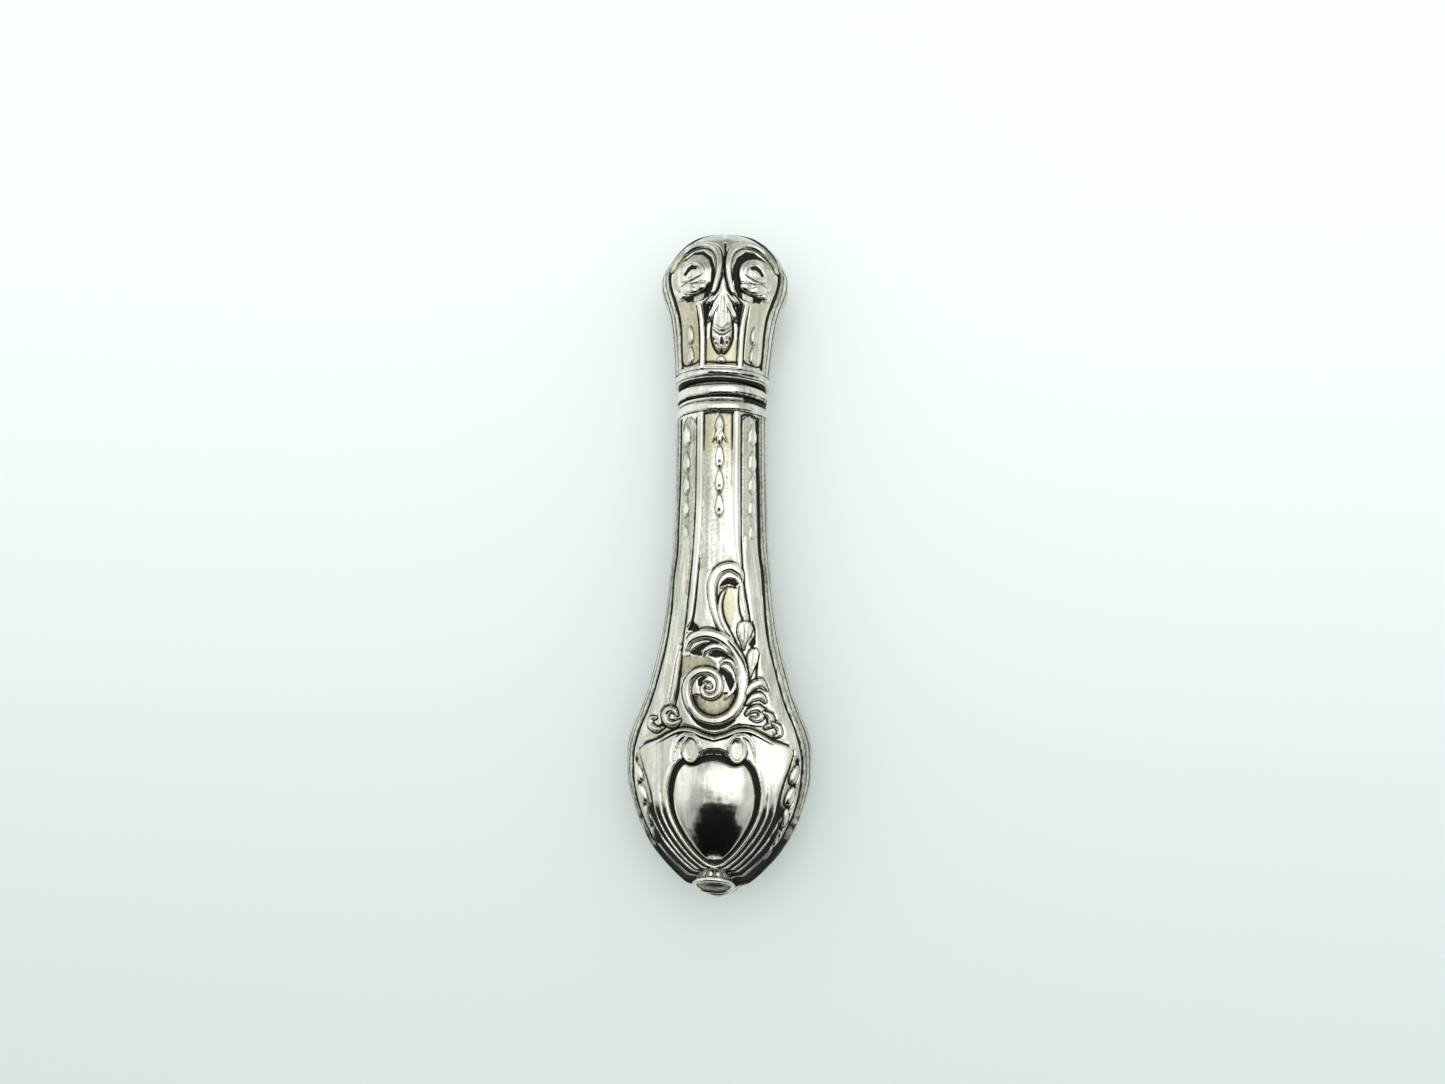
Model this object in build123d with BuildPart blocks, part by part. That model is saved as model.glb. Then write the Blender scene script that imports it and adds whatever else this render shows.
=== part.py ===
"""Needle case in the shape of a hollow silver handle, with a pull-off cap.

Two die-stamped halves are soldered along a seam to make the body, and two more make the cap.
A round inner tube stands out of the body's mouth as a spigot, and the cap's liner slides on it.
The case lies on its back along Y, with its cap towards +Y and its front face up.
"""

import os

from build123d import *

os.makedirs("parts", exist_ok=True)

# ---------------------------------------------------------------- driving dimensions, mm

# Overall lengths
body_length = 66.7
cap_length = 22.5
mouth_gap = 0.8

# Body, as stamped
shield_length = 19.0
shield_width = 24.2
shield_depth = 10.8
neck_diameter = 12.1
tip_width = 1.0
sheet = 0.5

# Dome on the shield
dome_rise = 1.8
dome_length = 13.2
dome_half_width = 5.3
dome_from_tip = 5.2

# Boss at the tip
boss_diameter = 5.4
boss_neck_diameter = 3.8
boss_length = 3.2
boss_dish_diameter = 4.4
boss_dish_depth = 0.45
boss_from_tip = 2.3
boss_lift = 2.3
boss_tilt = 32.0

# Neck rings
collar_height = 3.4
collar_seat = 4.5
collar_wall = 0.85
collar_seat_wall = 0.4
bead_height = 1.15
bead_standout = 0.25
mouth_plate_thickness = 0.4

# Cap, as stamped
bulb_width = 17.7
bulb_depth = 13.4
cap_neck_step = 0.4
cap_band_standout = 0.2
cap_band_height = 1.6
cap_band_wall = 0.6
cap_ring_thickness = 0.5
cap_turn_at_rest = 5.0

# Needle tube and cap liner
tube_play = 0.1
tube_wall = 0.4
spigot_length = 12.5
tube_depth = 42.7
floor_thickness = 0.5
stop_ring_inset = 0.15
stop_ring_thickness = 0.35
liner_wall = 0.5
liner_length = 17.7
running_clearance = 0.05

# Relief of the stamped ornament above the plain surface
rib_relief = 0.25
scroll_relief = 0.5

# Fullness of a section: a circle's Bezier handle, and the flatter section of the shield
round_section = 0.5523
full_section = 0.68

# ---------------------------------------------------------------- derived places

case_length = body_length + mouth_gap + cap_length
tip_y = -case_length / 2
mouth_y = tip_y + body_length
cap_mouth_y = mouth_y + mouth_gap
crown_y = cap_mouth_y + cap_length
shell_top_y = mouth_y - collar_height
shield_top_y = tip_y + shield_length
cap_shell_y = cap_mouth_y + cap_band_height

neck_radius = neck_diameter / 2
shield_half_width = shield_width / 2
shield_half_depth = shield_depth / 2
bulb_half_width = bulb_width / 2
bulb_half_depth = bulb_depth / 2
cap_neck_radius = neck_radius + cap_neck_step
bead_radius = neck_radius + bead_standout
axis_height = max(shield_half_depth + dome_rise, bulb_half_depth + scroll_relief)

cap_band_radius = cap_neck_radius + cap_band_standout
collar_radius = neck_radius - collar_seat_wall
collar_bore_radius = collar_radius - collar_wall
tube_radius = collar_bore_radius - tube_play
tube_bore_radius = tube_radius - tube_wall
stop_ring_radius = neck_radius - stop_ring_inset
liner_bore_radius = tube_radius + running_clearance
liner_radius = liner_bore_radius + liner_wall
cap_band_bore_radius = cap_band_radius - cap_band_wall

case_height = 2 * axis_height
seam_plane = Plane.XY.offset(axis_height)
case_axis = Axis((0, 0, axis_height), (0, 1, 0))


# ---------------------------------------------------------------- helpers


def half_section(y, half_width, half_depth, fullness):
    """One half-oval across the case at y, standing on the seam."""
    crosswise = Plane(origin=(0, y, axis_height), x_dir=(1, 0, 0), z_dir=(0, -1, 0))
    flank = fullness * half_depth
    crest = fullness * half_width
    with BuildSketch(crosswise) as section:
        with BuildLine():
            Bezier((half_width, 0), (half_width, flank), (crest, half_depth), (0, half_depth))
            Bezier((0, half_depth), (-crest, half_depth), (-half_width, flank), (-half_width, 0))
            Line((-half_width, 0), (half_width, 0))
        make_face()
    return section.sketch


def half_body(stations, growth=0.0):
    """Solid half of a stamped form, lofted through its stations and grown all round."""
    with BuildPart() as half:
        loft(
            sections=[
                half_section(y, half_width + growth, half_depth + growth, fullness)
                for y, half_width, half_depth, fullness in stations
            ]
        )
    return half.part


def ring(y_low, y_high, inner_radius, outer_radius):
    """Plain ring or tube round the case's axis."""
    with BuildPart() as plain_ring:
        with BuildSketch(seam_plane):
            with Locations((inner_radius, y_low)):
                Rectangle(outer_radius - inner_radius, y_high - y_low, align=(Align.MIN, Align.MIN))
        revolve(axis=case_axis)
    return plain_ring.part


def bead_ring(y_low, y_high, inner_radius, edge_radius, crest_radius):
    """Ring whose outer side swells to a rounded crest."""
    with BuildPart() as bead:
        with BuildSketch(seam_plane):
            with BuildLine():
                Line((edge_radius, y_high), (inner_radius, y_high))
                Line((inner_radius, y_high), (inner_radius, y_low))
                Line((inner_radius, y_low), (edge_radius, y_low))
                crest = (crest_radius, (y_low + y_high) / 2)
                ThreePointArc((edge_radius, y_low), crest, (edge_radius, y_high))
            make_face()
        revolve(axis=case_axis)
    return bead.part


def stroke(points, start_width, middle_width, end_width):
    """Face of a tapering stroke along a smooth line through the points."""
    with BuildLine() as spine:
        Spline(*points)
    line = spine.line
    steps = 2 * len(points)
    left = []
    right = []
    for step in range(steps + 1):
        share = step / steps
        if share < 0.5:
            width = start_width + (middle_width - start_width) * 2 * share
        else:
            width = middle_width + (end_width - middle_width) * (2 * share - 1)
        across = (line % share).rotate(Axis.Z, 90) * (width / 2)
        left.append(line @ share + across)
        right.append(line @ share - across)
    with BuildSketch() as face:
        with BuildLine():
            Spline(*left)
            Line(left[-1], right[-1])
            Spline(*right)
            Line(right[0], left[0])
        make_face()
    return face.sketch


def mirrored(shape):
    """The shape and its mirror image across the case's middle."""
    return [shape, mirror(shape, about=Plane.YZ)]


# ---------------------------------------------------------------- outline of the body

# Handle, from the shield's shoulder up to the neck: share of its length, share of its widening
handle_flare = [
    (0.045, 0.93),
    (0.113, 0.72),
    (0.19, 0.53),
    (0.27, 0.38),
    (0.35, 0.25),
    (0.43, 0.165),
    (0.51, 0.11),
    (0.59, 0.055),
    (0.67, 0.022),
    (0.75, 0.006),
    (0.83, 0.0),
    (0.915, 0.0),
    (1.0, 0.0),
]

# Shield, from its shoulder down to the tip: share of its length, of its half-width and depth
shield_taper = [
    (0.97, 0.17, 0.26),
    (0.895, 0.34, 0.50),
    (0.79, 0.52, 0.68),
    (0.63, 0.735, 0.85),
    (0.47, 0.865, 0.94),
    (0.32, 0.945, 0.98),
    (0.16, 1.0, 1.0),
    (0.0, 1.0, 1.0),
]

handle_length = shell_top_y - shield_top_y
body_stations = [(tip_y, tip_width / 2, tip_width / 2, round_section)]
for along, width_share, depth_share in shield_taper:
    body_stations.append(
        (
            shield_top_y - along * shield_length,
            width_share * shield_half_width,
            depth_share * shield_half_depth,
            full_section,
        )
    )
for along, widening in handle_flare:
    body_stations.append(
        (
            shield_top_y + along * handle_length,
            neck_radius + widening * (shield_half_width - neck_radius),
            neck_radius + widening * (shield_half_depth - neck_radius),
            round_section + widening * (full_section - round_section),
        )
    )

# Cap, from its band up to the crown: share of its length, width between neck and bulb
cap_swell = [
    (0.0, 0.0),
    (0.09, 0.04),
    (0.18, 0.12),
    (0.27, 0.21),
    (0.36, 0.32),
    (0.44, 0.48),
    (0.52, 0.73),
    (0.59, 0.94),
    (0.66, 1.0),
]
cap_crown = [
    (0.72, 0.955),
    (0.78, 0.885),
    (0.835, 0.82),
    (0.88, 0.74),
    (0.925, 0.635),
    (0.962, 0.5),
    (0.985, 0.35),
    (0.9975, 0.13),
    (1.0, 0.02),
]

cap_shell_length = crown_y - cap_shell_y
cap_stations = []
for along, swelling in cap_swell:
    cap_stations.append(
        (
            cap_shell_y + along * cap_shell_length,
            cap_neck_radius + swelling * (bulb_half_width - cap_neck_radius),
            cap_neck_radius + swelling * (bulb_half_depth - cap_neck_radius),
            round_section,
        )
    )
for along, share in cap_crown:
    cap_stations.append(
        (
            cap_shell_y + along * cap_shell_length,
            share * bulb_half_width,
            share * bulb_half_depth,
            round_section,
        )
    )


def hollow_of(stations):
    """Solid half of the space inside a stamped form, one sheet inside its surface."""
    return half_body(stations, growth=-sheet)


# ---------------------------------------------------------------- ornament of the body


def on_body(x, from_tip):
    """Plan point on the body, by its distance from the tip."""
    return (x, tip_y + from_tip)


def body_stroke(points, start_width, middle_width, end_width):
    """Tapering stroke on the body, through points given from the tip."""
    return stroke([on_body(*point) for point in points], start_width, middle_width, end_width)


rib_half_spacing = 2.4
rib_width = 0.75
rib_end_gap = 0.3
rib_top = shell_top_y - tip_y - rib_end_gap
left_rib = body_stroke(
    [(-rib_half_spacing, rib_top), (-2.45, 52), (-2.6, 46), (-2.9, 41), (-3.4, 36.8), (-4.0, 34)],
    rib_width,
    rib_width,
    0.4,
)
right_rib = body_stroke(
    [(rib_half_spacing, rib_top), (2.45, 52), (2.6, 46), (2.9, 42), (3.4, 38.5), (3.9, 36)],
    rib_width,
    rib_width,
    0.4,
)
left_edge = body_stroke([(-4.5, 32.2), (-5.0, 29), (-5.5, 26), (-5.8, 24.3)], 0.3, 0.5, 0.3)

main_volute = body_stroke(
    [
        (-4.0, 32.0),
        (-3.5, 33.3),
        (-1.4, 34.0),
        (1.2, 33.0),
        (3.1, 31.0),
        (3.9, 27.8),
        (3.2, 24.8),
        (1.2, 23.0),
        (-1.5, 22.9),
        (-3.6, 24.4),
        (-4.2, 26.9),
        (-3.0, 28.9),
        (-0.9, 29.1),
        (0.3, 27.6),
        (-0.2, 26.1),
        (-1.6, 25.9),
    ],
    0.5,
    1.0,
    0.5,
)
volute_leaf = body_stroke([(-1.5, 31.4), (-0.6, 32.4), (1.0, 32.1), (2.4, 30.9)], 0.4, 0.8, 0.3)
volute_eye = body_stroke([(-2.0, 27.6), (-1.3, 27.9), (-0.9, 27.3), (-1.3, 26.9)], 0.3, 0.4, 0.4)

crook = body_stroke(
    [(2.7, 40.9), (2.4, 42.1), (1.0, 42.8), (-0.4, 41.9), (-0.9, 39.8), (-0.6, 37.4), (0.4, 35.2), (1.9, 33.6)],
    0.5,
    0.9,
    0.4,
)
crook_stem = body_stroke(
    [(0.9, 39.8), (0.4, 38.3), (0.5, 36.4), (1.5, 34.5), (2.8, 33.0)],
    0.25,
    0.35,
    0.25,
)

frond = body_stroke([(4.3, 26.6), (4.9, 27.3), (5.7, 27.4), (6.4, 26.7)], 0.3, 0.7, 0.3)
frond_under = body_stroke([(4.1, 25.3), (4.9, 25.9), (5.8, 25.9), (6.4, 25.2)], 0.3, 0.6, 0.3)
right_curl = body_stroke([(4.3, 23.7), (5.2, 24.1), (6.0, 23.6), (5.6, 22.8)], 0.3, 0.6, 0.4)
right_tail = body_stroke([(6.2, 23.6), (7.1, 23.2), (7.3, 22.3), (6.4, 21.9)], 0.3, 0.6, 0.4)
left_curl = body_stroke([(-4.5, 23.6), (-5.8, 24.1), (-6.7, 23.2), (-5.9, 22.2), (-5.0, 22.6)], 0.3, 0.7, 0.3)
left_tail = body_stroke([(-7.0, 23.5), (-7.9, 22.9), (-8.5, 22.0), (-9.2, 21.6)], 0.3, 0.6, 0.3)

bud_radius = 0.95
lower_bud_radius = 0.7
husk_half_width = 0.5
husk_half_length = 1.35
side_husk_half_width = 0.33
side_husk_x = 4.45
husk_rows = [50.6, 53.9, 57.2]
bellflower_row = 61.0
side_husk_rows = [47.3, 50.6, 53.9, 57.2, 60.5]

with BuildSketch() as low_ornament:
    add([left_rib, right_rib, left_edge, crook_stem, volute_eye])
    with Locations([on_body(0, row) for row in husk_rows]):
        Ellipse(husk_half_width, husk_half_length)
    with Locations(on_body(0, bellflower_row)):
        Ellipse(husk_half_width, husk_half_length)
    with Locations([on_body(side * side_husk_x, row) for side in (-1, 1) for row in side_husk_rows]):
        Ellipse(side_husk_half_width, husk_half_length)

with BuildSketch() as scroll_ornament:
    add([main_volute, volute_leaf, crook, frond, frond_under])
    add([right_curl, right_tail, left_curl, left_tail])
    with Locations(on_body(3.5, 34.7)):
        Circle(bud_radius)
    with Locations(on_body(4.8, 31.9)):
        Circle(lower_bud_radius)

# Cartouche: a polished band round the dome, eared at its top corners
cartouche_right = [(9.6, 19.6), (8.6, 15.5), (7.8, 12.0), (6.0, 8.3), (3.4, 5.6), (1.2, 4.6)]
cartouche_top = [(9.6, 19.6), (7.0, 21.0), (4.2, 22.0), (1.8, 21.3), (0.0, 20.9)]
channel_edge = [
    (0.0, 19.0),
    (3.4, 18.9),
    (5.3, 17.4),
    (5.9, 14.5),
    (5.6, 11.9),
    (4.5, 8.8),
    (2.6, 6.6),
    (0.0, 4.9),
]
volute_disc_x = 2.9
volute_disc_from_tip = 19.2
volute_disc_half_width = 1.1
volute_disc_half_height = 1.6

with BuildSketch() as cartouche:
    with BuildLine():
        Spline(*[on_body(*point) for point in cartouche_right])
        Spline(*[on_body(*point) for point in cartouche_top])
        Polyline(
            on_body(*cartouche_top[-1]),
            on_body(0, cartouche_right[-1][1]),
            on_body(*cartouche_right[-1]),
        )
    make_face()
    with BuildLine():
        Spline(*[on_body(*point) for point in channel_edge])
        Line(on_body(*channel_edge[-1]), on_body(*channel_edge[0]))
    make_face(mode=Mode.SUBTRACT)
    mirror(about=Plane.YZ)

with BuildSketch() as body_low_relief:
    add(low_ornament.sketch)
    add(cartouche.sketch)

with BuildSketch() as body_high_relief:
    add(scroll_ornament.sketch)
    with Locations([on_body(side * volute_disc_x, volute_disc_from_tip) for side in (-1, 1)]):
        Ellipse(volute_disc_half_width, volute_disc_half_height)

# Dome: share of its length from its lower point, of its half-width and of its height
dome_shape = [
    (0.0, 0.12, 0.555),
    (0.136, 0.45, 0.72),
    (0.288, 0.75, 0.855),
    (0.44, 0.93, 0.945),
    (0.63, 1.0, 1.0),
    (0.82, 0.96, 0.975),
    (0.95, 0.84, 0.89),
    (1.0, 0.74, 0.81),
]
dome_spread = 1.35
dome_height = shield_half_depth + dome_rise
dome_stations = [
    (
        tip_y + dome_from_tip + along * dome_length,
        width_share * dome_half_width * dome_spread,
        height_share * dome_height,
        round_section,
    )
    for along, width_share, height_share in dome_shape
]

# Boss: a flared, dished knob that faces the tip and leans up
boss_face = Plane(
    origin=(0, tip_y + boss_from_tip, axis_height + boss_lift),
    x_dir=(1, 0, 0),
    z_dir=Vector(0, -1, 0).rotate(Axis.X, -boss_tilt),
)
with BuildPart() as tip_boss:
    with BuildSketch(boss_face):
        Circle(boss_diameter / 2)
    with BuildSketch(boss_face.offset(-boss_length)):
        Circle(boss_neck_diameter / 2)
    loft()
    with BuildSketch(boss_face):
        Circle(boss_dish_diameter / 2)
    extrude(amount=-boss_dish_depth, mode=Mode.SUBTRACT)


def raised(ornament, stations, relief):
    """Ornament that stands a given height out of a stamped form's surface."""
    with BuildPart() as relief_part:
        extrude(ornament, amount=case_height)
        add(half_body(stations, growth=relief), mode=Mode.INTERSECT)
    return relief_part.part


# ---------------------------------------------------------------- body shells

least_hollow_depth = 4 * sheet
body_fill_stations = [station for station in body_stations if station[2] > least_hollow_depth]
with BuildPart() as body_front_shell:
    add(half_body(body_stations))
    add(half_body(dome_stations))
    add(tip_boss.part)
    split(bisect_by=seam_plane, keep=Keep.TOP)
    add(raised(body_low_relief.sketch, body_stations, rib_relief))
    add(raised(body_high_relief.sketch, body_stations, scroll_relief))
    add(hollow_of(body_fill_stations), mode=Mode.SUBTRACT)
    add(hollow_of(dome_stations), mode=Mode.SUBTRACT)
    add(ring(shell_top_y - collar_seat, mouth_y, 0, collar_radius), mode=Mode.SUBTRACT)
body_front_shell.part.label = "body_front_shell"
export_step(body_front_shell.part, "parts/body_front_shell.step")

with BuildPart() as body_back_shell:
    add(body_front_shell.part.rotate(case_axis, 180))
body_back_shell.part.label = "body_back_shell"
export_step(body_back_shell.part, "parts/body_back_shell.step")

# ---------------------------------------------------------------- neck of the body

with BuildPart() as neck_collar:
    add(ring(shell_top_y - collar_seat, mouth_y - mouth_plate_thickness, collar_bore_radius, collar_radius))
neck_collar.part.label = "neck_collar"
export_step(neck_collar.part, "parts/neck_collar.step")

with BuildPart() as lower_bead:
    add(bead_ring(shell_top_y, shell_top_y + bead_height, collar_radius, neck_radius, bead_radius))
lower_bead.part.label = "lower_bead"
export_step(lower_bead.part, "parts/lower_bead.step")

with BuildPart() as upper_bead:
    add(bead_ring(mouth_y - bead_height, mouth_y, collar_radius, neck_radius, bead_radius))
upper_bead.part.label = "upper_bead"
export_step(upper_bead.part, "parts/upper_bead.step")

with BuildPart() as mouth_plate:
    add(ring(mouth_y - mouth_plate_thickness, mouth_y, tube_radius + running_clearance, collar_radius))
mouth_plate.part.label = "mouth_plate"
export_step(mouth_plate.part, "parts/mouth_plate.step")

# ---------------------------------------------------------------- needle tube

spigot_top_y = mouth_y + spigot_length
tube_bottom_y = mouth_y - tube_depth
with BuildPart() as needle_tube:
    add(ring(tube_bottom_y, spigot_top_y, tube_bore_radius, tube_radius))
needle_tube.part.label = "needle_tube"
export_step(needle_tube.part, "parts/needle_tube.step")

with BuildPart() as tube_floor:
    add(ring(tube_bottom_y, tube_bottom_y + floor_thickness, 0, tube_bore_radius))
tube_floor.part.label = "tube_floor"
export_step(tube_floor.part, "parts/tube_floor.step")

stop_ring_y = mouth_y + running_clearance
with BuildPart() as stop_ring:
    add(ring(stop_ring_y, stop_ring_y + stop_ring_thickness, tube_radius, stop_ring_radius))
stop_ring.part.label = "stop_ring"
export_step(stop_ring.part, "parts/stop_ring.step")

# ---------------------------------------------------------------- ornament of the cap


def on_cap(x, from_mouth):
    """Plan point on the cap, by its distance from the cap's mouth."""
    return (x, cap_mouth_y + from_mouth)


def cap_stroke(points, start_width, middle_width, end_width):
    """Tapering stroke on the cap, through points given from its mouth."""
    return stroke([on_cap(*point) for point in points], start_width, middle_width, end_width)


cap_rib = cap_stroke([(2.6, 2.0), (2.6, 5.0), (2.8, 8.5), (3.3, 11.0)], 0.7, 0.7, 0.4)
cap_scroll = cap_stroke(
    [(6.3, 16.2), (4.8, 17.7), (2.8, 18.1), (1.1, 17.0), (0.65, 14.8), (1.3, 12.4), (2.3, 10.4)],
    0.4,
    0.9,
    0.4,
)
cap_volute = cap_stroke(
    [
        (6.6, 14.6),
        (5.6, 15.6),
        (4.0, 15.9),
        (2.5, 15.0),
        (2.2, 13.2),
        (3.6, 12.2),
        (5.2, 12.9),
        (5.0, 14.3),
        (3.8, 14.4),
    ],
    0.4,
    0.9,
    0.5,
)
cap_leaf = cap_stroke([(2.6, 11.9), (3.6, 11.7), (4.8, 11.9), (5.8, 11.3)], 0.3, 0.7, 0.3)
cap_husk_x = 4.3
cap_husk_rows = [3.4, 6.5]
cap_bead_from_mouth = 2.7
cap_bead_radius = 0.6
pendant_edge = [(0.0, 14.2), (0.5, 12.5), (1.3, 11.0), (1.9, 9.4), (1.7, 7.4), (1.2, 5.4), (0.4, 3.9)]
pendant_notch = (0.0, 4.4)

with BuildSketch() as cap_low_ornament:
    add(mirrored(cap_rib))
    with Locations([on_cap(side * cap_husk_x, row) for side in (-1, 1) for row in cap_husk_rows]):
        Ellipse(side_husk_half_width, husk_half_length)
    with Locations(on_cap(0, cap_bead_from_mouth)):
        Circle(cap_bead_radius)

with BuildSketch() as cap_scroll_ornament:
    add(mirrored(cap_scroll) + mirrored(cap_volute) + mirrored(cap_leaf))
    with BuildLine():
        Spline(*[on_cap(*point) for point in pendant_edge])
        Polyline(on_cap(*pendant_edge[-1]), on_cap(*pendant_notch), on_cap(*pendant_edge[0]))
    make_face()
    mirror(about=Plane.YZ)

# ---------------------------------------------------------------- cap

cap_fill_stations = [station for station in cap_stations if station[1] > least_hollow_depth]
with BuildPart() as stamped_cap:
    add(half_body(cap_stations))
    add(raised(cap_low_ornament.sketch, cap_stations, rib_relief))
    add(raised(cap_scroll_ornament.sketch, cap_stations, scroll_relief))
    add(hollow_of(cap_fill_stations), mode=Mode.SUBTRACT)

with BuildPart() as cap_front_shell:
    add(stamped_cap.part.rotate(case_axis, cap_turn_at_rest))
cap_front_shell.part.label = "cap_front_shell"
export_step(cap_front_shell.part, "parts/cap_front_shell.step")

with BuildPart() as cap_back_shell:
    add(stamped_cap.part.rotate(case_axis, cap_turn_at_rest + 180))
cap_back_shell.part.label = "cap_back_shell"
export_step(cap_back_shell.part, "parts/cap_back_shell.step")

with BuildPart() as cap_band:
    add(bead_ring(cap_mouth_y, cap_shell_y, cap_band_bore_radius, cap_neck_radius, cap_band_radius))
cap_band.part.label = "cap_band"
export_step(cap_band.part, "parts/cap_band.step")

with BuildPart() as cap_mouth_ring:
    add(ring(cap_mouth_y, cap_mouth_y + cap_ring_thickness, liner_radius, cap_band_bore_radius))
cap_mouth_ring.part.label = "cap_mouth_ring"
export_step(cap_mouth_ring.part, "parts/cap_mouth_ring.step")

with BuildPart() as cap_liner:
    add(ring(cap_mouth_y, cap_mouth_y + liner_length, liner_bore_radius, liner_radius))
cap_liner.part.label = "cap_liner"
export_step(cap_liner.part, "parts/cap_liner.step")

liner_top_y = cap_mouth_y + liner_length
with BuildPart() as cap_liner_disc:
    add(ring(liner_top_y - floor_thickness, liner_top_y, 0, liner_bore_radius))
cap_liner_disc.part.label = "cap_liner_disc"
export_step(cap_liner_disc.part, "parts/cap_liner_disc.step")
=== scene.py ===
"""Looks of a die-stamped silver needle case with a pull-off cap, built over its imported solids."""

import math
from functools import partial

import bmesh
import bpy
import numpy as np
from mathutils import Matrix, Vector


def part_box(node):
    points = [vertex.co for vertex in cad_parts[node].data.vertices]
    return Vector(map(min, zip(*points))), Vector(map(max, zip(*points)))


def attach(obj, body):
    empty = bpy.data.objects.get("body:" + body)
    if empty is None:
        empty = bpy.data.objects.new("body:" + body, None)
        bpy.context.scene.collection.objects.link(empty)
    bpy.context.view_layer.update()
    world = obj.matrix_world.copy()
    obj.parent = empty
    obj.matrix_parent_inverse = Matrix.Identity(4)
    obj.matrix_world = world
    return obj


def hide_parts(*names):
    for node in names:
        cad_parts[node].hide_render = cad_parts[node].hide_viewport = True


bl_info = {
    "name": "Silver needle case",
    "version": (1, 0, 0),
    "blender": (4, 5, 0),
    "location": "View3D > Sidebar > Needle Case",
    "description": "Builds a stamped silver needle case, its rings and its pale table",
    "category": "Add Mesh",
}

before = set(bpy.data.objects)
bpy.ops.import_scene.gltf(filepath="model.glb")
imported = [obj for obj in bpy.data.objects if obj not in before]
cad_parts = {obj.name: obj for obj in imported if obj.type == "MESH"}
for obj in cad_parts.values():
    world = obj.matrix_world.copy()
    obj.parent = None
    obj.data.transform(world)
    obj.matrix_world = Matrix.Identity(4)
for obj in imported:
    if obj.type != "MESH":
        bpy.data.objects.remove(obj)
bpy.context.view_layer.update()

# Lengths from here on are in millimetres, unless a name or comment says metres
MILLIMETRE = 0.001
AXIS_HEIGHT = 7.2
CAP_TURN = math.radians(5.0)
CAP_LEAN = math.radians(-1.2)
LEAN_PIVOT_Y = 22.8

TIP_Y, TIP_RADIUS = -45.0, 0.5
SHIELD_TOP_Y, SHIELD_LENGTH = -26.0, 19.0
SHIELD_HALF_WIDTH, SHIELD_HALF_DEPTH = 12.1, 5.4
HANDLE_LENGTH, NECK_RADIUS, NECK_START_Y = 44.3, 6.05, 10.77
CAP_FOOT_Y, CAP_LENGTH, CAP_FOOT_RADIUS = 24.1, 20.9, 6.45
BULB_HALF_WIDTH, BULB_HALF_DEPTH = 8.85, 6.7
ROUND, FULL = 0.5523, 0.68  # fullness of a round section and of the shield's
CAP_ROWS, CAP_COLUMNS = 300, 232
BODY_INNER_COLUMNS, CAP_INNER_COLUMNS = 12, 30
TIP_SOLDER = 0.8  # extra thickness inside the tip
RING_BORE, MOUTH_RING_BORE, STOP_RING_BORE = 5.66, 5.25, 4.71
COLLAR_WALL, BAND_WALL, LINER_WALL, TUBE_WALL = 0.85, 0.6, 0.5, 0.4
SHELL_END_Y, COLLAR_STEP_Y, COLLAR_ROLL_Y = 18.3, 19.5, 20.12
MERGE_METRES = 1e-7
RUBBING_METRES = 0.00002  # height of the fine scratches
SHARP_ANGLE = math.radians(55)

# Share of the shield's length, of its half-width and of its half-depth
SHIELD_TAPER = [
    (0.97, 0.17, 0.26), (0.895, 0.34, 0.50), (0.79, 0.52, 0.68), (0.63, 0.735, 0.85),
    (0.47, 0.865, 0.94), (0.32, 0.945, 0.98), (0.16, 1.0, 1.0), (0.0, 1.0, 1.0),
]
# Share of the handle's length, and of its widening from the neck to the shield
HANDLE_FLARE = [
    (0.0451, 0.93), (0.1129, 0.72), (0.19, 0.53), (0.27, 0.38), (0.35, 0.25), (0.43, 0.165), (0.51, 0.11),
    (0.59, 0.055), (0.67, 0.022), (0.75, 0.006),
]
# Share of the cap's length, and of its swelling from the foot to the bulb
CAP_SWELL = [
    (0.0, 0.0), (0.09, 0.04), (0.18, 0.12), (0.27, 0.21), (0.36, 0.32), (0.44, 0.48), (0.52, 0.73),
    (0.59, 0.94), (0.66, 1.0),
]
# Share of the cap's length, and of the bulb's size
CAP_CROWN = [
    (0.72, 0.955), (0.78, 0.885), (0.835, 0.82), (0.88, 0.74), (0.925, 0.635), (0.962, 0.5005),
    (0.985, 0.3505), (0.9975, 0.13), (1.0, 0.0),
]


def between(low, high, share):
    return low + share * (high - low)


def station(y, half_width, half_depth, fullness):
    """Section at a place along the case, to a hundredth of a millimetre."""
    return round(y, 2), round(half_width, 2), round(half_depth, 2), fullness


BODY_STATIONS = [
    station(TIP_Y, TIP_RADIUS, TIP_RADIUS, ROUND),
    *(
        station(
            SHIELD_TOP_Y - along * SHIELD_LENGTH,
            wide * SHIELD_HALF_WIDTH,
            deep * SHIELD_HALF_DEPTH,
            FULL,
        )
        for along, wide, deep in SHIELD_TAPER
    ),
    *(
        station(
            SHIELD_TOP_Y + along * HANDLE_LENGTH,
            between(NECK_RADIUS, SHIELD_HALF_WIDTH, flare),
            between(NECK_RADIUS, SHIELD_HALF_DEPTH, flare),
            round(between(ROUND, FULL, flare), 3),
        )
        for along, flare in HANDLE_FLARE
    ),
    station(NECK_START_Y, NECK_RADIUS, NECK_RADIUS, ROUND),
    station(SHELL_END_Y, NECK_RADIUS, NECK_RADIUS, ROUND),
]
CAP_STATIONS = [
    *(
        station(
            CAP_FOOT_Y + along * CAP_LENGTH,
            between(CAP_FOOT_RADIUS, BULB_HALF_WIDTH, swell),
            between(CAP_FOOT_RADIUS, BULB_HALF_DEPTH, swell),
            ROUND,
        )
        for along, swell in CAP_SWELL
    ),
    *(
        station(CAP_FOOT_Y + along * CAP_LENGTH, size * BULB_HALF_WIDTH, size * BULB_HALF_DEPTH, ROUND)
        for along, size in CAP_CROWN
    ),
]


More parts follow.
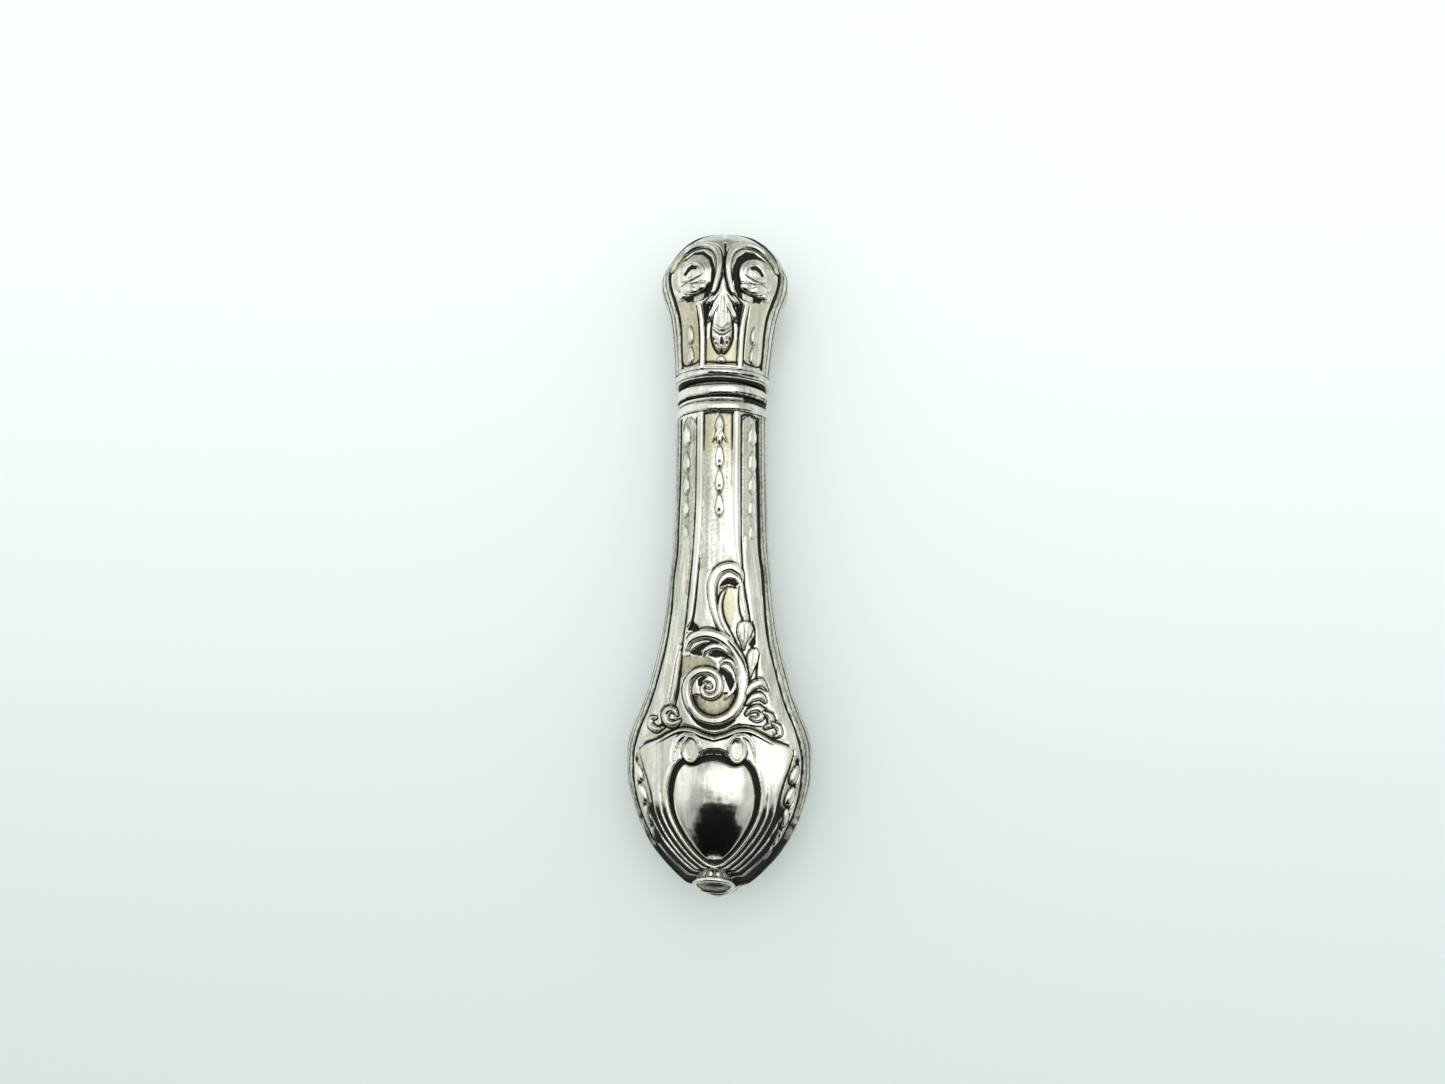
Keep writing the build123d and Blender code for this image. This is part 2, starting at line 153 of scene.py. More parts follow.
# ---------------------------------------------------------------- curves


def eased(places, values, softness):
    """Smooth function through a table of values, softened over a length."""
    places, values = np.array(places, float), np.array(values, float)
    gaps = np.diff(places)
    slopes = np.diff(values) / gaps
    tangents = np.concatenate([slopes[:1], np.zeros(len(places) - 2), slopes[-1:]])
    for i in range(1, len(places) - 1):
        before, after = slopes[i - 1], slopes[i]
        if before * after > 0:
            near, far = 2 * gaps[i] + gaps[i - 1], gaps[i] + 2 * gaps[i - 1]
            tangents[i] = (near + far) / (near / before + far / after)
    fine = np.linspace(places[0], places[-1], 3001)
    index = np.clip(np.searchsorted(places, fine) - 1, 0, len(gaps) - 1)
    t = (fine - places[index]) / gaps[index]
    curve = (
        values[index] * (1 + 2 * t) * (1 - t) ** 2
        + gaps[index] * tangents[index] * t * (1 - t) ** 2
        + values[index + 1] * t * t * (3 - 2 * t)
        + gaps[index] * tangents[index + 1] * t * t * (t - 1)
    )
    step = fine[1] - fine[0]
    reach = int(3 * softness / step)
    kernel = np.exp(-0.5 * (np.arange(-reach, reach + 1) * step / softness) ** 2)
    kernel /= kernel.sum()
    low = 2 * curve[0] - curve[reach:0:-1]
    high = 2 * curve[-1] - curve[-2 : -reach - 2 : -1]
    curve = np.convolve(np.concatenate([low, curve, high]), kernel, "valid")
    return lambda place: np.interp(place, fine, curve)


def smoothstep(value, low, high):
    share = np.clip((value - low) / (high - low), 0, 1)
    return share * share * (3 - 2 * share)


def line_at(value, place, width):
    """1 on a place, fading to 0 over a width on both sides."""
    return np.exp(-(((value - place) / width) ** 2))


def flowing(points, steps=7):
    """Points along a smooth line through a few given ones."""
    points = np.array(points, float)
    padded = np.vstack([2 * points[0] - points[1], points, 2 * points[-1] - points[-2]])
    line = []
    for i in range(len(points) - 1):
        a, b, c, d = padded[i : i + 4]
        for t in np.linspace(0, 1, steps, endpoint=False):
            bend = (2 * a - 5 * b + 4 * c - d) * t * t + (3 * b - a - 3 * c + d) * t**3
            line.append(0.5 * (2 * b + (c - a) * t + bend))
    line.append(points[-1])
    return np.array(line)


def closed_loop(points):
    """Whole symmetric outline from its right half, given from one end of its centre line to the other."""
    line = flowing(points)
    return np.vstack([line, line[-2:0:-1] * (-1, 1)])


# ---------------------------------------------------------------- relief


class Relief:
    """Height, black oxide and painted shade, and warm tarnish worked over a stamped surface.

    Strokes are drawn as they are given, or mirrored while sides() works the left side.
    """

    def __init__(self, x, y):
        self.x, self.y = x.ravel(), y.ravel()
        self.edge = np.repeat(np.abs(x).max(1), x.shape[1])
        self.height, self.oxide, self.tarnish = np.zeros((3, self.x.size))
        self.side = 1

    def sides(self):
        """Works the left side and then the right, from strokes given for the right."""
        for self.side in (-1, 1):
            yield self.side

    def blacken(self, amount, where=slice(None)):
        """Raises the black of oxide and of painted shade to an amount."""
        self.oxide[where] = np.maximum(self.oxide[where], amount)

    def warm(self, amount, where=slice(None)):
        """Raises the tarnish to an amount."""
        self.tarnish[where] = np.maximum(self.tarnish[where], amount)

    def rub(self, share, where=slice(None), tarnish_share=1.0):
        """Rubs off the oxide and the tarnish."""
        self.oxide[where] *= 1 - share
        self.tarnish[where] *= 1 - tarnish_share * share

    def around(self, line, reach):
        """Indices and places of the points in the box round a line."""
        low, high = line.min(0) - reach, line.max(0) + reach
        picked = np.flatnonzero(
            (self.x > low[0]) & (self.x < high[0]) & (self.y > low[1]) & (self.y < high[1])
        )
        return picked, self.x[picked], self.y[picked]

    def near_line(self, points, reach):
        """Points near a smooth line: their indices, distance from it and share along it."""
        line = flowing(np.array(points, float) * (self.side, 1))
        picked, px, py = self.around(line, reach)
        best, share = np.full(px.shape, 1e9), np.zeros(px.shape)
        for i, ((ax, ay), (bx, by)) in enumerate(zip(line[:-1], line[1:])):
            dx, dy = bx - ax, by - ay
            t = np.clip(((px - ax) * dx + (py - ay) * dy) / (dx * dx + dy * dy), 0, 1)
            apart = (px - ax - t * dx) ** 2 + (py - ay - t * dy) ** 2
            share = np.where(apart < best, (i + t) / (len(line) - 1), share)
            best = np.minimum(best, apart)
        return picked, np.sqrt(best), share

    def inside(self, outline, reach=1.5):
        """Points near a closed outline: their indices and distance inside it, negative outside."""
        loop = np.vstack([outline, outline[:1]]) * (self.side, 1)
        picked, px, py = self.around(loop, reach)
        best, within = np.full(px.shape, 1e9), np.zeros(px.shape, bool)
        for (ax, ay), (bx, by) in zip(loop[:-1], loop[1:]):
            dx, dy = bx - ax, by - ay
            length = dx * dx + dy * dy
            if length == 0:
                continue
            t = np.clip(((px - ax) * dx + (py - ay) * dy) / length, 0, 1)
            best = np.minimum(best, (px - ax - t * dx) ** 2 + (py - ay - t * dy) ** 2)
            if dy:
                within ^= ((ay > py) != (by > py)) & (px < dx * (py - ay) / dy + ax)
        return picked, np.where(within, 1, -1) * np.sqrt(best)

    def groove(self, points, width, depth, oxide=1.0):
        """Cut line, dark at its bottom; width may taper along it."""
        widths = np.atleast_1d(width)
        picked, apart, share = self.near_line(points, widths.max() * 1.5)
        half = np.interp(share, np.linspace(0, 1, len(widths)), widths) / 2
        cut = np.exp(-((apart / np.maximum(half, 0.02)) ** 2) * 1.1) * np.clip(half / 0.06, 0, 1)
        self.height[picked] -= depth * cut
        self.blacken(oxide * cut, picked)

    def ridge(self, points, widths, height, crease=0.0, edge=0.0, edge_width=0.22, ends=0.5):
        """Raised stroke, round or creased, that may stand in its own dark edge line."""
        widths = np.array(widths, float)
        picked, apart, share = self.near_line(points, widths.max() + edge_width * 2)
        half = np.interp(share, np.linspace(0, 1, len(widths)), widths) / 2
        if edge:
            line = line_at(apart, half + edge_width * 0.35, edge_width * 0.5)
            line = np.where(apart > half * 0.7, line, 0) * np.clip(half / 0.15, 0, 1)
            self.height[picked] -= edge * line
            self.blacken(np.clip(edge * 4.5, 0, 1) * line, picked)
        across = apart / np.maximum(half, 0.01)
        rise = np.clip(1 - across**2.4, 0, 1) ** 0.8 * (1 - crease * line_at(across, 0, 0.26))
        stands = apart < half
        top = height * (half / half.max()) ** ends * rise
        self.height[picked] = np.where(stands, np.maximum(self.height[picked], top), self.height[picked])
        self.rub(smoothstep(rise, 0.25, 0.7) * stands, picked, 0.85)

    def drop(self, x, y, half_width, half_length, height, turn=0.0, edge=0.12, notch=0.0):
        """Rounded seed with a fine dark line round it."""
        cos, sin = math.cos(turn * self.side), math.sin(turn * self.side)
        right, up = self.x - x * self.side, self.y - y
        across, along = (right * cos + up * sin) / half_width, (up * cos - right * sin) / half_length
        across = across / np.clip(1 - 0.28 * along, 0.3, 2)
        apart = np.sqrt(across**2 + along**2)
        line = line_at(apart, 1.12, 0.16)
        self.height -= edge * 0.7 * line
        self.blacken(np.clip(edge * 4.2, 0, 0.9) * line)
        rise = np.sqrt(np.clip(1 - apart * apart, 0, 1))
        rise = rise * (1 - notch * line_at(across, 0, 0.3) * smoothstep(-along, 0.0, 0.7))
        self.height = np.where(apart < 1, np.maximum(self.height, height * rise), self.height)
        self.rub(smoothstep(rise, 0.2, 0.6), tarnish_share=0.8)

    def plate(self, outline, level, bevel, tarnish=None, oxide=None, soft=0.25):
        """Raised or sunk plate inside an outline, with its own tarnish and oxide."""
        picked, within = self.inside(outline)
        self.height[picked] += level * smoothstep(within, -bevel / 2, bevel / 2)
        for layer, value, fade in ((self.tarnish, tarnish, soft), (self.oxide, oxide, soft / 2)):
            if value is not None:
                layer[picked] += (value - layer[picked]) * smoothstep(within, -soft / 2, fade)

    def pit(self, outline, depth, soft=0.2, oxide=1.0):
        """Deep dark hollow inside an outline."""
        picked, within = self.inside(outline)
        self.height[picked] -= depth * smoothstep(within, -soft, soft)
        self.blacken(oxide * smoothstep(within, -soft * 0.6, soft * 0.5), picked)

    def round_border(self, groove, swell):
        """Rounds the strip between a side groove and the seam, and darkens it, partly as grime and partly as
        painted shade along the edges.
        """
        places = np.array(sorted((y, x) for x, y in groove))
        start = np.interp(self.y, places[:, 0], places[:, 1])
        share = np.clip((self.edge - np.abs(self.x)) / np.maximum(self.edge - start, 0.05), 0, 1) ** 0.5
        strip = share < 1
        self.height += swell * np.sin(math.pi * share) * strip
        # Warm tone over the strip: partly tarnish, partly painted shade of the darker edges
        self.warm(0.3 * strip)
        for place, dark in ((0.52, 0.75), (0.78, 0.6)):
            line = line_at(share, place, 0.07) * strip * (self.edge - start > 0.5)
            self.height -= 0.04 * line
            self.blacken(dark * line)
        # Black over the strip, in blotches that grow towards the tip: partly grime, partly painted shade of
        # the darker edges
        blotch = np.sin(2.3 * self.y + 1.6 * np.sin(1.1 * self.y)) * np.sin(3.1 * self.x + 0.9 * self.y)
        grime_and_painted_shade = 0.36 - 0.04 * share + (0.12 + 0.3 * blotch) * smoothstep(-self.y, 29.0, 34.0)
        self.blacken(grime_and_painted_shade * strip)

    def ruffle(self, seed, size, depth, waves=14):
        """Slight unevenness of hand-finished metal."""
        chance = np.random.default_rng(seed)
        for _ in range(waves):
            angle, phase = chance.uniform(0, 2 * math.pi, 2)
            pace = 2 * math.pi / (size * chance.uniform(0.7, 2.2))
            wave = np.sin(pace * (math.cos(angle) * self.x + math.sin(angle) * self.y) + phase)
            self.height += depth * wave / waves**0.5


# ---------------------------------------------------------------- ornament of the body

SIDE_GROOVE = [
    (5.3, 17.9), (5.3, 14), (5.35, 10), (5.5, 5), (5.65, 0), (6.01, -3), (6.2, -6), (6.45, -9), (6.85, -12),
    (7.5, -15), (8.3, -18), (9.1, -20.5), (10.15, -23), (10.9, -25.5), (11.15, -27.2), (11.1, -29),
    (10.8, -31.3), (10.2, -33.5), (9.4, -35.4), (8.1, -37.8), (6.35, -40.2), (4.5, -42.2), (2.9, -43.5),
]
LEFT_RIB = [
    (-2.22, 18.1), (-2.22, 12), (-2.22, 6), (-2.4, 1), (-2.75, -3), (-3.05, -7), (-3.4, -9.6), (-3.75, -11),
]
RIGHT_RIB = [(2.7, 18.1), (2.7, 12), (2.7, 6), (2.83, 1), (3.13, -3), (3.53, -6.5), (3.98, -9.3)]
LEFT_FLANK = [
    (-2.82, 17.7), (-2.82, 10), (-2.9, 4), (-3.2, -1), (-3.65, -6), (-4.0, -9.5), (-4.4, -12.6), (-4.75, -14),
]
RIGHT_FLANK = [(3.3, 17.7), (3.3, 10), (3.33, 4), (3.43, -1), (3.78, -5), (4.28, -8), (4.68, -10.4)]
MAIN_VOLUTE = [
    (-3.69, -13.1), (-3.31, -12), (-2.34, -11.35), (-0.94, -11.1), (0.55, -11.5), (1.85, -12.4),
    (2.92, -13.9), (3.52, -15.6), (3.71, -17.5), (3.43, -19.3), (2.59, -20.9), (1.38, -21.85), (-0.11, -22.2),
    (-1.69, -21.8), (-2.9, -20.7), (-3.59, -19.1), (-3.55, -17.6), (-2.8, -16.4), (-1.69, -15.85),
    (-0.48, -15.9), (0.45, -16.6), (0.73, -17.7), (0.36, -18.8), (-0.52, -19.2), (-1.36, -18.8), (-1.55, -18),
    (-1.13, -17.45),
]
CROOK = [
    (3.45, -4.15), (3.15, -3.2), (2.1, -2.45), (0.8, -2.75), (-0.1, -3.8), (-0.4, -5.2), (-0.2, -7.2),
    (0.35, -9), (1.03, -10.5), (1.99, -11.9), (2.7, -13.6),
]
CARTOUCHE = [
    (0, -24.15), (1.5, -23.75), (3, -23.15), (4.5, -23.1), (6, -23.7), (7.5, -24.55), (9, -25.15),
    (10.0, -25.95), (9.45, -27.9), (8.8, -29.6), (8.2, -31.4), (7.75, -33.5), (6.9, -35.6), (5.6, -37.8),
    (4.0, -39.7), (2.4, -40.9), (0, -41.0),
]
DOME_EDGE = [
    (0, -26.95), (1.2, -27.2), (2.5, -27.7), (3.6, -27.5), (4.25, -27.95), (4.8, -28.9), (5.2, -30.4),
    (5.28, -32.0), (4.95, -33.9), (4.05, -35.9), (2.6, -38.0), (1.15, -39.4), (0, -40.0),
]
DOME_WIDTH = [
    (-40.4, 0.8), (-39.4, 1.5), (-38.0, 2.65), (-36.0, 4.05), (-34.0, 4.98), (-32.0, 5.34), (-30.4, 5.3),
    (-28.9, 5.0), (-27.4, 4.5), (-26.4, 4.0),
]
DOME_RISE = [
    (-40.2, 0.26), (-38.0, 0.76), (-36.0, 1.2), (-34.0, 1.54), (-32.0, 1.74), (-30.6, 1.75), (-29.0, 1.57),
    (-27.6, 1.07), (-26.4, 0.5),
]
# Outline and veins of each bud
BUDS = (
    (
        [
            (2.8, -10.3), (3.1, -9.6), (3.8, -9.35), (4.5, -9.65), (4.8, -10.4), (4.55, -11.3), (4.05, -12.2),
            (3.7, -13.2), (3.3, -12.2), (2.9, -11.2),
        ],
        [
            [(3.75, -9.8), (3.75, -11.2), (3.65, -12.7)],
            [(3.3, -10.3), (3.35, -11.3), (3.5, -12.3)],
            [(4.3, -10.2), (4.2, -11.2), (3.95, -12.1)],
        ],
    ),
    (
        [
            (4.2, -13.6), (4.6, -12.95), (5.25, -12.95), (5.6, -13.6), (5.4, -14.7), (4.95, -15.7),
            (4.5, -16.8), (4.3, -15.4), (4.1, -14.5),
        ],
        [[(4.9, -13.4), (4.8, -14.6), (4.6, -15.9)], [(5.25, -13.5), (5.1, -14.5), (4.85, -15.3)]],
    ),
)
# Bright lines round the dome: distance from the channel, thickness, height and where they start
DOME_LINES = (
    (0.28, 0.19, 0.2, 27.0), (1.15, 0.13, 0.16, 29.5), (2.0, 0.13, 0.15, 31.5), (3.05, 0.13, 0.14, 33.0),
    (4.3, 0.12, 0.12, 36.5),
)


def shifted(points, right, up=0.0):
    return [(x + right, y + up) for x, y in points]


def work_neck_panels(relief):
    """Warm centre panel and side panels of the neck, with their grooves and ribs."""
    centre = [
        (2.15, 18.15), (2.15, 12), (2.2, 6), (2.3, 1), (2.4, -3), (-2.3, -3), (-2.1, 1), (-1.8, 6),
        (-1.75, 12), (-1.75, 18.15),
    ]
    relief.plate(centre, -0.1, 0.2, tarnish=0.75, oxide=0.31)
    relief.tarnish *= smoothstep(relief.y, 12.0, 14.2) * 0.45 + smoothstep(relief.y, 4.5, 9.0) * 0.35 + 0.2
    relief.groove([(-1.7, 18.15), (0.2, 18.2), (2.3, 18.15)], 0.36, 0.12, 1.0)
    relief.groove([(3.3, 17.85), (4.2, 18.15), (5.1, 17.9)], 0.42, 0.14, 1.0)
    relief.pit([
        (-3.5, 16.3), (-3.0, 16.1), (-2.95, 14.6), (-3.2, 13.7), (-3.6, 14.8),
    ], 0.12, soft=0.3, oxide=0.75)
    for side in relief.sides():
        # The panels stand a little to the right of the middle
        place = partial(shifted, right=0.2 * side)
        panel = [
            (3.1, 16.9), (3.35, 17.55), (4.1, 17.9), (4.8, 17.55), (5.05, 16.9), (5.3, 4), (6.0, -6),
            (4.0, -6), (3.15, 3),
        ]
        relief.plate(
            place(panel), -0.05, 0.25, tarnish=0.5 if side < 0 else 0.36, oxide=0.38 if side < 0 else 0.28,
        )
        top = [(3.02, 16.2), (3.15, 17.2), (4.1, 17.95), (4.9, 17.2), (5.0, 16.2)]
        relief.groove(place(top), 0.2, 0.1, 0.85)
        relief.groove(place([(1.92, 18), (1.92, 15.6), (1.92, 13.2)]), [0.26, 0.26, 0.16], 0.12)
        relief.groove(place([(1.94, 13.2), (1.95, 9), (2.0, 4)]), [0.16, 0.12, 0.04], 0.08, 0.45)
    borders = {
        -1: ([0.42, 0.46, 0.36, 0.36, 0.34, 0.34], 0.32),
        1: ([0.46, 0.42, 0.24, 0.26, 0.3, 0.34], 0.3),
    }
    for side in relief.sides():
        relief.groove(SIDE_GROOVE, *borders[side])
    relief.groove(LEFT_FLANK, [0.2, 0.2, 0.22, 0.3, 0.3, 0.12], 0.16)
    relief.groove(RIGHT_FLANK, [0.24, 0.24, 0.2, 0.24, 0.3, 0.2], 0.16)
    relief.ridge(LEFT_RIB, [0.85, 0.85, 0.85, 0.8, 0.85, 0.75, 0.1], 0.24, ends=0.2, crease=0.25)
    relief.ridge(RIGHT_RIB, [0.85, 0.85, 0.85, 0.7, 0.6, 0.45, 0.1], 0.22, ends=0.2)
    relief.groove([
        (-2.15, -1.2), (-2.35, -4), (-2.65, -7), (-2.95, -9.2), (-3.5, -10.6),
    ], [0.08, 0.24, 0.28, 0.34, 0.2], 0.2)
    relief.groove([(3.1, -5.0), (3.05, -6.6), (3.2, -8.2), (3.55, -9.2)], [0.12, 0.24, 0.3, 0.3], 0.2)
    relief.pit([(-3.65, -10.5), (-2.95, -9.5), (-2.2, -10.1), (-2.1, -10.55), (-2.8, -10.75)], 0.24)


def work_flanks(relief):
    """Flutes at the sides of the handle."""
    flank = [
        (4.1, 1.5), (4.35, -2), (4.9, -6), (5.35, -9.5), (5.8, -13), (6.3, -16), (7.1, -19), (7.9, -21.5),
    ]
    ground = shifted(flank[2:], -0.6) + shifted(flank[:1:-1], 0.9)
    for side in relief.sides():
        relief.ridge(flank, [0.8, 1.6, 1.7, 1.8, 1.9, 2.1, 2.2, 1.4], 0.16, ends=0.4)
        for start, end, depth in ((-0.75, -1.0, 0.05), (0.1, 0.25, 0.035), (0.75, 1.1, 0.05)):
            line = [(x + shift, y) for (x, y), shift in zip(flank, np.linspace(start, end, len(flank)))]
            relief.groove(line, [0.1, 0.32, 0.34, 0.36, 0.36, 0.3, 0.1], depth, 0.3)
        picked, within = relief.inside(ground)
        cover = smoothstep(within, 0.0, 0.6)
        relief.warm(0.36 * cover, picked)
        relief.blacken((0.28 if side > 0 else 0.23) * cover, picked)
    relief.round_border(SIDE_GROOVE, 0.2)


def work_husks(relief):
    """Bellflower and husks of the centre panel, drops of the side panels."""
    relief.drop(0.42, 16.6, 0.52, 1.1, 0.2, edge=0.14, notch=0.4)
    for reach in (0.95, -0.95):
        relief.ridge([
            (0.42, 16.2), (0.42 + 0.4 * reach, 15.1), (0.42 + reach, 14.2),
        ], [0.3, 0.5, 0.14], 0.2, edge=0.09)
    relief.drop(0.42, 14.75, 0.34, 0.75, 0.22, edge=0.12)
    for row in (12.2, 8.9, 5.7):
        relief.drop(0.45, row, 0.5, 1.42, 0.07, edge=0.12)
        relief.pit([
            (0.28, row - 0.4), (0.6, row - 0.4), (0.66, row - 1.0), (0.22, row - 1.0),
        ], 0.1, soft=0.1, oxide=0.85)
        relief.drop(0.45, row - 1.05, 0.2, 0.3, 0.16, edge=0.0)
    for side in relief.sides():
        for row, size in ((15.4, 1.25), (11.8, 1.2), (8.7, 1.1), (5.5, 1.0), (2.3, 0.8)):
            relief.drop(4.42 + 0.2 * side, row, 0.36 * size, 1.05 * size, 0.2 * size, edge=0.12)


def work_crook(relief):
    """Ground of the scrollwork with its left edging, the crook and the buds."""
    relief.plate([
        (-4.3, -14.1), (-2.9, -13.8), (-1.0, -14.0), (0.2, -15.0), (0.3, -15.9), (-1.6, -15.2), (-3.2, -15.8),
        (-4.4, -16.9), (-4.8, -16.0),
    ], -0.12, 0.3, tarnish=0.8, oxide=0.36)
    relief.plate([
        (-3.7, -19), (3.1, -18.6), (2.9, -20.2), (1.2, -21.5), (-0.6, -21.8), (-2.4, -21.2), (-3.6, -20.2),
    ], -0.14, 0.3, tarnish=0.85, oxide=0.28)
    relief.plate([
        (0.5, -5.2), (1.3, -5.0), (2.4, -5.1), (2.75, -8), (2.2, -10.2), (1.6, -10.9), (0.6, -9.3), (0.3, -7),
    ], -0.1, 0.3, tarnish=0.75, oxide=0.24)
    relief.ridge([
        (-4.5, -12.6), (-4.95, -15), (-5.3, -17.6), (-5.65, -19.6), (-5.9, -21),
    ], [0.25, 0.5, 0.6, 0.55, 0.25], 0.3, edge=0.12)
    relief.groove([(-4.4, -13.9), (-4.65, -16.4), (-4.85, -18.6), (-5.2, -20.4)], [0.2, 0.35, 0.4, 0.2], 0.2)

    # Crook with its lip, stem and the buds that hang by it
    relief.ridge(CROOK, [0.35, 1.2, 1.3, 1.25, 1.15, 1.05, 0.9, 0.5], 0.5, crease=0.16, edge=0.1)
    relief.pit([
        (3.1, -4.6), (2.5, -4.0), (1.6, -3.9), (0.95, -4.4), (0.6, -5.0), (1.2, -4.75), (1.9, -4.6),
        (2.6, -4.95),
    ], 0.32, soft=0.1)
    relief.ridge([
        (0.75, -5.15), (1.3, -4.95), (1.9, -4.85), (2.75, -5.2),
    ], [0.15, 0.36, 0.36, 0.15], 0.26, edge=0.1)
    relief.ridge([
        (1.35, -5.4), (0.85, -6.3), (0.65, -7.7), (0.95, -9.2), (1.6, -10.6), (2.5, -12.1),
    ], [0.2, 0.45, 0.5, 0.5, 0.5, 0.25], 0.36, edge=0.14)
    relief.groove([(0.3, -5.1), (0.15, -6.7), (0.3, -8.0)], [0.1, 0.22, 0.1], 0.1, 0.7)
    for outline, veins in BUDS:
        relief.groove(outline + outline[:1], 0.26, 0.14, 0.9)
        relief.plate(outline, 0.42, 0.4, tarnish=0, oxide=0, soft=0.1)
        for vein in veins:
            relief.groove(vein, [0.06, 0.15, 0.12], 0.1, 0.55)
    relief.pit([(5.05, -11.3), (5.2, -12.3), (4.75, -12.9), (4.4, -12.4)], 0.22, soft=0.12)
    relief.groove([(5.5, -13.7), (5.4, -15.2), (5.3, -16.8)], [0.24, 0.3, 0.15], 0.2)
    relief.groove([(4.75, -9.5), (5.05, -10.6), (5.05, -12.0)], [0.16, 0.24, 0.16], 0.18)


def work_volute(relief):
    """Main volute with its leaf lips."""
    relief.pit([
        (0.7, -15.3), (1.4, -15.7), (2.2, -16.4), (2.75, -17.6), (2.8, -18.7), (2.2, -18.7), (1.75, -17.8),
        (1.2, -16.5), (0.6, -15.9),
    ], 0.28, soft=0.16, oxide=0.8)
    relief.ridge([(2.75, -17.2), (2.45, -18.2), (1.9, -18.9), (1.35, -19.4)], [0.3, 0.5, 0.45, 0.2], 0.12)
    relief.ridge([
        (0.85, -14.95), (1.5, -14.55), (2.35, -14.9), (2.95, -16.0), (3.05, -17.6),
    ], [0.3, 0.7, 0.75, 0.6, 0.2], 0.46, crease=0.12, edge=0.12)
    relief.ridge([
        (-1.5, -13.95), (-1.1, -13.2), (-0.1, -12.75), (1.1, -12.9), (2.2, -13.75), (3.0, -15.0),
    ], [0.2, 0.85, 1.0, 0.95, 0.8, 0.3], 0.52, crease=0.12, edge=0.12)
    relief.ridge(
        MAIN_VOLUTE, [0.5, 1.3, 1.4, 1.35, 1.3, 1.3, 1.25, 1.2, 1.2, 1.15, 1.0, 0.85, 0.8, 0.65, 0.35], 0.6,
        crease=0.1, edge=0.13, edge_width=0.2, ends=0.35,
    )
    relief.drop(-0.7, -17.75, 0.4, 0.42, 0.5, edge=0.2)
    relief.pit([
        (-3.4, -13.55), (-2.6, -12.95), (-1.6, -12.4), (-0.5, -12.2), (-1.1, -12.55), (-1.8, -13.2),
        (-1.7, -13.9), (-2.8, -13.8),
    ], 0.32, soft=0.12)
    relief.pit([
        (-0.9, -13.85), (0.1, -13.3), (1.0, -13.4), (1.7, -13.95), (0.8, -14.0), (0.1, -14.1),
    ], 0.3, soft=0.12)
    relief.pit([
        (-2.2, -17.0), (-1.6, -16.6), (-0.9, -16.6), (-1.5, -17.1), (-1.75, -17.8), (-2.1, -17.8),
    ], 0.22, soft=0.12)
    relief.groove([
        (-3.2, -20.8), (-2.4, -22.2), (-1.1, -22.95), (0.2, -23.1), (1.5, -22.8), (2.6, -22.1),
    ], [0.26, 0.44, 0.56, 0.54, 0.44, 0.2], 0.28)
    relief.groove([(1.7, -12.0), (2.6, -13.1), (3.55, -14.6), (4.0, -16.0)], [0.16, 0.3, 0.3, 0.12], 0.22)


def work_curls(relief):
    """Frond and curls on the right, curls on the left, and the ground under them."""
    relief.ridge([
        (4.2, -18.7), (4.85, -17.75), (5.8, -17.4), (6.6, -18.2),
    ], [0.4, 1.0, 1.2, 0.35], 0.5, edge=0.16, crease=0.1)
    relief.ridge([
        (4.15, -20.0), (4.9, -19.2), (5.8, -19.05), (6.45, -19.7),
    ], [0.35, 0.9, 1.0, 0.35], 0.46, edge=0.16, crease=0.1)
    relief.ridge([
        (4.1, -21.3), (4.7, -20.75), (5.6, -20.6), (6.1, -21.3), (5.5, -22.0), (4.7, -21.8),
    ], [0.3, 0.75, 0.95, 0.9, 0.6, 0.25], 0.46, edge=0.2)
    relief.ridge([
        (6.3, -21.1), (7.05, -21.6), (7.2, -22.5), (6.5, -23.0),
    ], [0.35, 0.85, 0.85, 0.3], 0.42, edge=0.2)
    relief.ridge([
        (7.4, -22.5), (8.15, -23.0), (8.3, -23.8), (7.7, -24.1),
    ], [0.35, 0.7, 0.65, 0.25], 0.34, edge=0.18)
    relief.ridge([
        (-4.5, -22.2), (-5.2, -22.7), (-6.1, -22.5), (-6.55, -21.7), (-6.1, -20.9), (-5.3, -20.9),
        (-4.9, -21.5),
    ], [0.3, 0.85, 1.0, 1.0, 0.95, 0.7, 0.3], 0.46, edge=0.18)
    relief.drop(-5.65, -21.75, 0.26, 0.38, 0.05, edge=0.24)
    relief.ridge([
        (-6.8, -23.1), (-7.7, -23.4), (-8.5, -22.9), (-8.5, -22.1), (-7.8, -21.9),
    ], [0.3, 0.8, 0.85, 0.65, 0.3], 0.4, edge=0.2)
    relief.groove([(-7.1, -21.6), (-6.95, -22.4), (-7.2, -23.2)], [0.2, 0.35, 0.2], 0.2)
    relief.plate([
        (-9.6, -24.6), (-6.8, -22.6), (-4.0, -22.6), (0, -23.7), (3, -22.6), (6.6, -22.9), (9.4, -24.9),
        (7, -24.4), (4.4, -23), (0, -24.1), (-4.4, -23), (-7, -24.4),
    ], -0.08, 0.2, tarnish=0.5)


